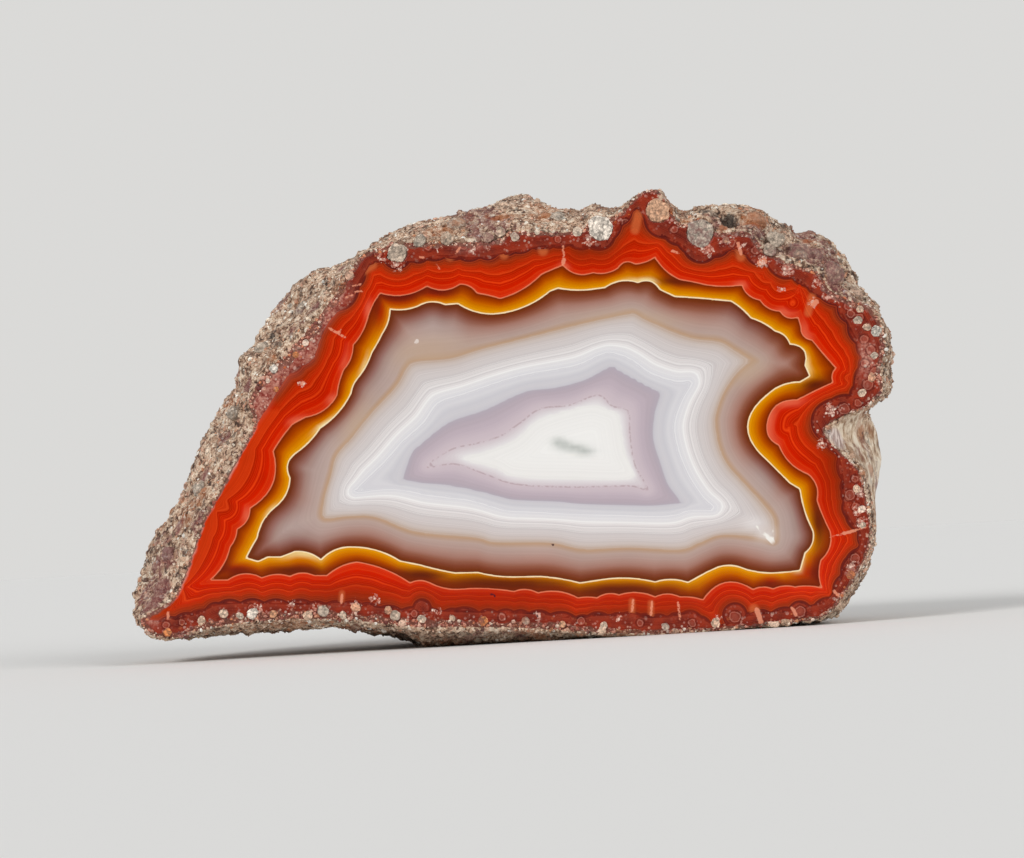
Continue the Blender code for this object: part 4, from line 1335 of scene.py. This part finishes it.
def makePolishedFace():
    material, tree, shader, place = newMaterial("polishedAgate")
    colour = paintGround(tree, place)
    drift = ripple(tree, place, 6.0)
    zones = [paintRed(tree, place), paintAmber(tree), paintGrey(tree, drift)]
    zones += [paintWhite(tree), paintMiddle(tree)]
    for start, painted in enumerate(zones, 1):
        colour = blendColours(tree, inside(tree, start), colour, painted)
    colour = paintLines(tree, place, colour)
    colour = paintFlecks(tree, place, colour, drift)
    colour = paintClusters(tree, place, colour)

    # the haze along the left edge, and the broken rim
    hazeWidth = times(tree, noiseTexture(tree, place, 1.6, 3.0), 0.6)
    haze = remap(tree, calc(tree, "DIVIDE", attributeValue(tree, "fromEdge"), hazeWidth), 0.2, 1.3, 1.0, 0.0)
    colour = over(tree, colour, times(tree, haze, attributeValue(tree, "leftSide")), polish["haze"])
    broken = remap(tree, attributeValue(tree, "sunk"), 0.02, 0.14)
    rimTone = colourRamp(tree, noiseTexture(tree, place, 0.3, 4.0, 0.7), polish["brokenRim"])
    colour = blendColours(tree, times(tree, broken, 0.9), colour, rimTone)
    tree.links.new(colour, shader.inputs["Base Color"])

    dull = remap(tree, attributeValue(tree, "band"), 0.4, 1.05, 0.12, 0.0)
    dull = plus(tree, dull, times(tree, broken, 0.5))
    grain = times(tree, noiseTexture(tree, place, 0.8, 3.0), 0.03)
    roughness = plus(tree, plus(tree, dull, grain), polish["roughness"])
    tree.links.new(roughness, shader.inputs["Roughness"])
    shader.inputs["IOR"].default_value = polish["ior"]
    shader.inputs["Specular IOR Level"].default_value = polish["shine"]
    roughen(tree, shader, times(tree, noiseTexture(tree, place, 0.3, 3.0), broken), 0.6, 0.12)
    return material


# The rind's colours

crust = {
    "base": [
        (0.0, (48, 30, 22)), (0.22, (108, 76, 56)), (0.42, (174, 138, 112)), (0.64, (216, 186, 158)),
        (1.0, (246, 230, 208)),
    ],
    "grains": [
        (0.0, (96, 62, 46)), (0.1, (156, 116, 92)), (0.28, (202, 166, 138)), (0.5, (224, 194, 168)),
        (0.68, (240, 220, 196)), (0.8, (220, 170, 144)), (0.9, (196, 126, 80)), (0.93, (252, 240, 220)),
        (1.0, (255, 250, 240)),
    ],
    "rimGrains": [
        (0.0, (104, 40, 32)), (0.2, (160, 84, 68)), (0.4, (214, 146, 124)), (0.6, (186, 112, 86)),
        (0.75, (238, 208, 186)), (0.88, (212, 116, 60)), (1.0, (248, 232, 214)),
    ],
    "rimPebbles": [
        (0.0, (104, 62, 50)), (0.36, (176, 138, 118)), (0.5, (196, 168, 144)), (0.64, (198, 182, 164)),
        (0.78, (226, 196, 170)), (0.84, (216, 168, 134)), (0.9, (218, 132, 72)), (0.97, (240, 226, 210)),
        (1.0, (252, 244, 230)),
    ],
    "coat": [(0.0, (117, 82, 56)), (0.3, (168, 134, 104)), (0.55, (207, 179, 149)), (1.0, (250, 235, 212))],
    # painted shade of the small pores
    "pores": (52, 34, 26),
    "brownCoat": ((150, 98, 52), 0.7),
    "crystal": ((172, 144, 134), (240, 222, 212)),
    # stains and painted shade: tone and strength
    "Plum": ((122, 58, 60), 0.72),
    "Rust": ((172, 96, 40), 0.62),
    # dark soot drifts, and painted shade in the pits
    "Soot": ((44, 34, 30), 0.85),
    # painted shade over the underside
    "Earth": ((78, 58, 42), 0.42),
}
stainAndShadeNames = ("Plum", "Rust", "Soot", "Earth")


def makeRindStainsAndShade():
    # stains and painted shade broken up by noise, with painted shade in small dark pores, for the rind and
    # its grains
    group, given, put = makeGroup(
        "rindStainsAndShade",
        [("Vector", "NodeSocketVector", None), ("Colour", "NodeSocketColor", None)]
        + [(name, "NodeSocketFloat", 0.0) for name in (*stainAndShadeNames, "Pores")],
        [("Colour", "NodeSocketColor")],
    )
    place = given["Vector"]
    speck = noiseTexture(group, place, 0.9, 4.0, 0.7)
    drift = remap(group, noiseTexture(group, place, 4.5, 3.0, 0.6), 0.34, 0.66, 0.84, 1.08)
    colour = multiplied(group, given["Colour"], drift)
    # painted shade: small dark pores where the noise is low
    pores = remap(group, noiseTexture(group, place, 1.0, 4.0, 0.65), 0.38, 0.45, 0.7, 0.0)
    colour = blendColours(group, times(group, pores, given["Pores"]), colour, eyeColour(*crust["pores"]))
    for name in stainAndShadeNames:
        share = plus(group, given[name], times(group, minus(group, speck, 0.5), 1.6))
        isThere = calc(group, "GREATER_THAN", given[name], 0.01)
        colour = over(group, colour, times(group, remap(group, share, 0.25, 0.75), isThere), crust[name])
    group.links.new(colour, put["Colour"])
    return group


rindStainsAndShade = makeRindStainsAndShade()


# stains and painted shade laid over a colour
def stainedAndShaded(tree, place, colour, pores):
    given = {name: attributeValue(tree, name.lower()) for name in stainAndShadeNames}
    return useGroup(tree, rindStainsAndShade, Vector=place, Colour=colour, Pores=pores, **given)["Colour"]


def stretchedNoise(tree, place, turn, stretch, detail):
    # noise drawn out along one way over the face: turn in degrees
    mapping = addNode(tree, "ShaderNodeMapping", None, Vector=place, Rotation=(0, math.radians(turn), 0))
    mapping.inputs["Scale"].default_value = stretch
    return noiseTexture(tree, mapping.outputs[0], 0.9, detail, 0.6)


def makeRind():
    material, tree, shader, place = newMaterial("rindCrust")
    tone = noiseTexture(tree, place, 0.7, 5.0, 0.75)
    colour = colourRamp(tree, remap(tree, tone, 0.32, 0.7), crust["base"])
    cells = useGroup(tree, pebbleCells, Vector=place, Size=0.6, Fill=0.5)
    pebble = colourRamp(tree, cells["Tone"], crust["grains"])
    colour = blendColours(tree, times(tree, cells["Pebble"], 0.55), colour, pebble)

    # the smooth coat in the notch: cream, streaked along its slope, with brown stains
    streaks = stretchedNoise(tree, place, 28, (2.6, 1.0, 0.5), 4.0)
    coat = colourRamp(tree, remap(tree, streaks, 0.24, 0.66), crust["coat"])
    brown = remap(tree, noiseTexture(tree, place, 2.2, 4.0, 0.7), 0.5, 0.64)
    coat = over(tree, coat, brown, crust["brownCoat"])
    isCoat = attributeValue(tree, "calcite")
    colour = blendColours(tree, isCoat, colour, coat)
    # a striated crystal beside it
    striae = remap(tree, stretchedNoise(tree, place, -14, (7.0, 1.0, 0.5), 2.0), 0.4, 0.6)
    crystal = blendColours(tree, striae, *(eyeColour(*end) for end in crust["crystal"]))
    colour = blendColours(tree, attributeValue(tree, "crystal"), colour, crystal)
    colour = stainedAndShaded(tree, place, colour, minus(tree, 1.0, isCoat))
    tree.links.new(colour, shader.inputs["Base Color"])
    tree.links.new(blendValues(tree, isCoat, 0.8, 0.5), shader.inputs["Roughness"])
    shader.inputs["IOR"].default_value = 1.5
    rough = plus(tree, times(tree, cells["Pebble"], 0.6), noiseTexture(tree, place, 0.3, 4.0))
    roughen(tree, shader, blendValues(tree, isCoat, rough, times(tree, streaks, 0.9)), 0.9, 0.14)
    return material


def makeGrainMaterial(name, tones, paintedFacets=0.0):
    # the last: how strongly painted facet shading shows in it, each small crystal face a random brightness
    # and darker at its edges
    material, tree, shader, place = newMaterial(name)
    colour = colourRamp(tree, attributeValue(tree, "tone"), tones)
    speck = remap(tree, noiseTexture(tree, place, 0.16, 3.0, 0.7), 0.32, 0.68, 0.62, 1.3)
    if paintedFacets:
        # painted shading of small crystal faces: each face lighter or darker, with painted shade along their
        # edges
        cells = addNode(tree, "ShaderNodeTexVoronoi", None, Vector=place, Scale=1 / (0.3 * mm))
        tone = addNode(tree, "ShaderNodeSeparateColor", None, Color=cells.outputs["Color"]).outputs[0]
        tone = plus(tree, times(tree, minus(tree, tone, 0.55), paintedFacets), 1.0)
        facetEdgeShade = remap(tree, cells.outputs["Distance"], 0.45, 0.75, 1.0, 0.62)
        speck = times(tree, speck, times(tree, tone, facetEdgeShade))
    colour = stainedAndShaded(tree, place, multiplied(tree, colour, speck), 0.0 if paintedFacets else 0.8)
    tree.links.new(colour, shader.inputs["Base Color"])
    gloss = remap(tree, noiseTexture(tree, place, 0.9, 2.0), 0.35, 0.65, 0.32, 0.65)
    tree.links.new(gloss, shader.inputs["Roughness"])
    shader.inputs["IOR"].default_value = 1.54
    roughen(tree, shader, noiseTexture(tree, place, 0.12, 3.0), 0.6, 0.06)
    return material


polishedAgate = makePolishedFace()
rindCrust = makeRind()
quartzGrains = makeGrainMaterial("quartzGrains", crust["grains"])
rimQuartz = makeGrainMaterial("rimQuartz", crust["rimGrains"])
rimStones = makeGrainMaterial("rimStones", crust["rimPebbles"], paintedFacets=0.7)

bodyMesh = buildBody()
bodyMesh.shade_smooth()
bodyMesh.set_sharp_from_angle(angle=math.radians(60))
agateStone = placePiece("agateStone", bodyMesh, [polishedAgate, rindCrust])
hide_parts("agate")
print("stone", len(bodyMesh.polygons), "faces")


# Grains: the sugary quartz and small pebbles that make up the rind

grains = {
    "pieces": 3,
    "count": 9600,  # in each piece
    "radius": (0.09, 0.3),  # millimetres
    "sunk": (0.3, 0.85),  # share of the radius below the skin
    "stretch": (0.6, 1.4),
    "uneven": 0.13,
    "mostOut": 0.16,  # millimetres that anything stands out of the skin
}

pebbles = {
    "count": 700,
    "radius": (0.28, 0.7),
    "sunk": (0.45, 0.9),
    "stretch": (0.7, 1.15),
    "uneven": 0.07,
    "mostOut": 0.24,
}

rimGrains = {
    "count": 3000,
    "radius": (0.07, 0.25),
    "sunk": (0.1, 0.8),
    "stretch": (0.7, 1.3),
    "uneven": 0.14,
}


def ballShape(subdivisions):
    work = bmesh.new()
    bmesh.ops.create_icosphere(work, subdivisions=subdivisions, radius=1.0)
    points = np.array([vertex.co[:] for vertex in work.verts])
    triangles = np.array([[vertex.index for vertex in part.verts] for part in work.faces])
    work.free()
    return points, triangles


def randomTurns(chance, count):
    # random rotations as 3 by 3 matrices
    spin = chance.normal(size=(count, 4))
    w, x, y, z = (spin / np.linalg.norm(spin, axis=1, keepdims=True)).T
    return np.stack(
        (
            1 - 2 * (y * y + z * z), 2 * (x * y - z * w), 2 * (x * z + y * w),
            2 * (x * y + z * w), 1 - 2 * (x * x + z * z), 2 * (y * z - x * w),
            2 * (x * z - y * w), 2 * (y * z + x * w), 1 - 2 * (x * x + y * y),
        ),
        axis=1,
    ).reshape(count, 3, 3)


def spotsOnSkin(chance, count):
    # random places on the rough skin with their outward directions, even over its area
    corner, right = skin[:, :-1], np.roll(skin, -1, axis=0)[:, :-1]
    above, far = skin[:, 1:], np.roll(skin, -1, axis=0)[:, 1:]
    area = np.linalg.norm(np.cross(far - corner, above - right), axis=-1).ravel()
    area[spotShare(corner.reshape(-1, 3), rind["calcite"] + rind["crystal"]) > 0.06] = 0
    area[spotShare(corner.reshape(-1, 3), [pit[:4] for pit in rind["pits"]]) > 0.3] = 0
    area *= 1 + 1.4 * smoothStep(-corner[..., 1].ravel(), -12, -6)  # closer together near the face
    chosen = chance.choice(len(area), size=count, p=area / area.sum())
    u, v = chance.random((2, count, 1))
    corner, right, above, far = (part.reshape(-1, 3)[chosen] for part in (corner, right, above, far))
    spots = (corner * (1 - u) + right * u) * (1 - v) + (above * (1 - u) + far * u) * v
    normals = skinOut[:, :-1].reshape(-1, 3)[chosen]
    return spots, normals


def spotsOnRim(chance, count):
    # random places on the broken rim of the face
    low, high = sawnEdge.min(axis=0), sawnEdge.max(axis=0)
    tries = low + (high - low) * chance.random((count * 30, 2))
    tries = tries[insideLine(tries, sawnEdge)]
    fromEdge = distanceTo(tries, sawnEdge)
    tries, fromEdge = tries[fromEdge < 2.2], fromEdge[fromEdge < 2.2]
    depth = faceDepth(tries, fromEdge)
    broken = depth > 0.06
    tries, depth = tries[broken][:count], depth[broken][:count]
    spots = np.stack((tries[:, 0], depth, tries[:, 1]), axis=1)
    return spots, np.tile((0.0, -1.0, 0.0), (len(spots), 1))


def joinGrains(name, material, chance, ball, centres, radius, stretch, tone, uneven, front):
    # one mesh of many small stones, each cut flat at its own front, so that none stands before the sawn plane
    points, triangles = ball
    count = len(centres)
    shapes = points[None] * stretch * (1 + uneven * chance.normal(size=(count, len(points), 1)))
    shapes = np.einsum("nij,nkj->nki", randomTurns(chance, count), shapes)
    placed = centres[:, None] + shapes * radius[:, None, None]
    placed[..., 1] = np.maximum(placed[..., 1], front[:, None])
    onGround = standUp(placed.reshape(-1, 3))
    onGround[:, 2] = np.maximum(onGround[:, 2], 0.02 * mm)
    joined = (triangles[None] + np.arange(count)[:, None, None] * len(points)).reshape(-1, 3)
    mesh = meshFromTriangles(name, onGround, joined)
    addValues(mesh, "tone", np.repeat(tone, len(points)))
    for layerName, some in stainAndShadeValues(centres).items():
        addValues(mesh, layerName, np.repeat(some, len(points)))
    mesh.shade_smooth()
    return placePiece(name, mesh, [material])


def scatter(name, material, settings, spots, normals, chance, subdivisions, power=2.0):
    # small stones strewn over the given spots, more of them small than large
    count = len(spots)
    low, high = settings["radius"]
    radius = low + (high - low) * chance.random(count) ** power
    out = radius * (1 - chance.uniform(*settings["sunk"], count))
    if "mostOut" in settings:
        out = np.minimum(out, settings["mostOut"])
    centres = spots + normals * (out - radius)[:, None]
    stretch = chance.uniform(*settings["stretch"], (count, 1, 3))
    tone = chance.random(count)
    front = chance.uniform(0.01, 0.09, count)
    ball = ballShape(subdivisions)
    joinGrains(name, material, chance, ball, centres, radius, stretch, tone, settings["uneven"], front)


for number in range(grains["pieces"]):
    dice = np.random.default_rng(100 + number)
    grainSpots = spotsOnSkin(dice, grains["count"])
    scatter("rindGrains%d" % (number + 1), quartzGrains, grains, *grainSpots, dice, 1)
dice = np.random.default_rng(200)
scatter("rindPebbles", quartzGrains, pebbles, *spotsOnSkin(dice, pebbles["count"]), dice, 2, power=1.6)
dice = np.random.default_rng(300)
scatter("rimGrains", rimQuartz, rimGrains, *spotsOnRim(dice, rimGrains["count"]), dice, 1)


# rough lumps of cemented grains that stand out of the rind
crustLumps = {
    # x, depth, z, radius, tone
    "places": [
        (28.8, 2.1, 17.8, 1.65, 0.42), (32.1, 2.0, 15.3, 1.5, 0.44), (30.6, 3.4, 17.2, 1.1, 0.4),
        (24.3, 2.6, 20.6, 1.0, 0.44), (26.8, 2.4, 19.4, 0.8, 0.5), (19.9, 2.2, 21.4, 0.8, 0.5),
        (34.4, 2.6, 13.6, 0.9, 0.44), (-21.0, 3.0, 12.2, 0.9, 0.6), (-25.2, 3.2, 8.4, 0.8, 0.62),
        (-28.6, 3.0, 1.6, 0.8, 0.6), (-31.8, 3.2, -6.0, 0.8, 0.62), (-5.6, 3.4, 20.8, 0.9, 0.66),
        (4.6, 2.8, 21.4, 0.8, 0.66), (-34.4, 3.0, -12.6, 0.8, 0.6),
    ],
    "uneven": 0.03,
    "lumps": [(0.8, 0.26), (0.28, 0.14)],
    "sunk": 0.28,
}


def placeStones(name, settings, centres, radius, tone, chance):
    # larger stones with lumps of their own
    ball = ballShape(4)
    shapes = []
    for r, centre in zip(radius, centres):
        swell = sum(tall * noiseAt(ball[0] * r + centre, size, 3.0) for size, tall in settings["lumps"])
        shapes.append(1 + swell / max(r, 0.6))
    stretch = chance.uniform(0.92, 1.08, (len(centres), 1, 3)) * np.array(shapes)[..., None]
    front = 0.0004 * np.arange(len(centres))
    joinGrains(name, rimStones, chance, ball, centres, radius, stretch, tone, settings["uneven"], front)


x, z, radius, tone = np.array(rimPebbles["places"]).T
centres = np.stack((x, radius * rimPebbles["centre"], z), axis=1)
placeStones("rimPebbles", rimPebbles, centres, radius, tone, np.random.default_rng(400))
x, depth, z, radius, tone = np.array(crustLumps["places"]).T
skinPoints, skinWays = skin.reshape(-1, 3), skinOut.reshape(-1, 3)
nearest = [np.linalg.norm(skinPoints - place, axis=1).argmin() for place in np.stack((x, depth, z), axis=1)]
centres = skinPoints[nearest] - skinWays[nearest] * (radius * crustLumps["sunk"])[:, None]
placeStones("crustLumps", crustLumps, centres, radius, tone, np.random.default_rng(500))
print("grains", grains["pieces"] * grains["count"], "pebbles", pebbles["count"])


# Floor, light and camera

studio = {
    "floor": (0.82, 0.81, 0.79),
    "floorSize": 0.9,
    "room": 0.5,  # how bright the room is all round
    "background": (0.705, 0.7, 0.686),
    # a dark flag behind the camera keeps the polish clear: degrees off the camera's side
    "flag": (20, 42),
    "flagLight": 0.01,
    # where each soft light comes from, its strength and its width in degrees
    "lights": {
        "keyLight": ((-0.55, -0.62, 0.56), 1.4, 24),
        "fillLight": ((0.62, -0.55, 0.5), 0.9, 40),
    },
}


def buildStudio():
    size = studio["floorSize"] / 2
    mesh = bpy.data.meshes.new("floor")
    corners = [(-size, -size, 0), (size, -size, 0), (size, size, 0), (-size, size, 0)]
    mesh.from_pydata(corners, [], [(0, 1, 2, 3)])
    floor = bpy.data.objects.new("floor", mesh)
    bpy.context.scene.collection.objects.link(floor)
    material, _, shader, _ = newMaterial("paleFloor")
    shader.inputs["Base Color"].default_value = (*studio["floor"], 1)
    shader.inputs["Roughness"].default_value = 0.9
    shader.inputs["Specular IOR Level"].default_value = 0.1
    mesh.materials.append(material)
    for name, (place, strength, width) in studio["lights"].items():
        light = bpy.data.lights.new(name, "SUN")
        light.energy = strength
        light.angle = math.radians(width)
        lamp = bpy.data.objects.new(name, light)
        lamp.location = place
        lamp.rotation_euler = (-Vector(place)).to_track_quat("-Z", "Y").to_euler()
        bpy.context.scene.collection.objects.link(lamp)
    world = bpy.data.worlds.new("softRoom")
    bpy.context.scene.world = world
    world.use_nodes = True
    tree = world.node_tree
    tree.nodes.clear()
    toward = addNode(tree, "ShaderNodeTexCoord").outputs["Generated"]
    aside = addNode(tree, "ShaderNodeSeparateXYZ", None, _0=toward).outputs[1]
    near, far = (math.cos(math.radians(angle)) for angle in studio["flag"])
    bright = remap(tree, times(tree, aside, -1.0), far, near, studio["room"], studio["flagLight"])
    seen = addNode(tree, "ShaderNodeBackground", None, Color=(*studio["background"], 1), Strength=1.0)
    lit = addNode(tree, "ShaderNodeBackground", None, Color=(0.97, 0.985, 1.0, 1), Strength=bright)
    ray = addNode(tree, "ShaderNodeLightPath").outputs["Is Camera Ray"]
    mixed = addNode(tree, "ShaderNodeMixShader", None, _0=ray, _1=lit.outputs[0], _2=seen.outputs[0])
    out = tree.nodes.new("ShaderNodeOutputWorld")
    tree.links.new(mixed.outputs[0], out.inputs["Surface"])


def placeCamera():
    data = bpy.data.cameras.new("camera")
    data.sensor_width = 36.0
    data.lens = data.sensor_width * standing["sight"] / standing["picture"]
    data.clip_end = 20
    camera = bpy.data.objects.new("camera", data)
    bpy.context.scene.collection.objects.link(camera)
    camera.location = (0, -(standing["sight"] + standing["depth"] / 2) * mm, standing["drop"] * mm)
    camera.rotation_euler = (math.pi / 2, math.radians(standing["roll"]), 0)
    bpy.context.scene.camera = camera


buildStudio()
placeCamera()
bpy.context.scene.view_settings.view_transform = "Standard"
print("studio ready")
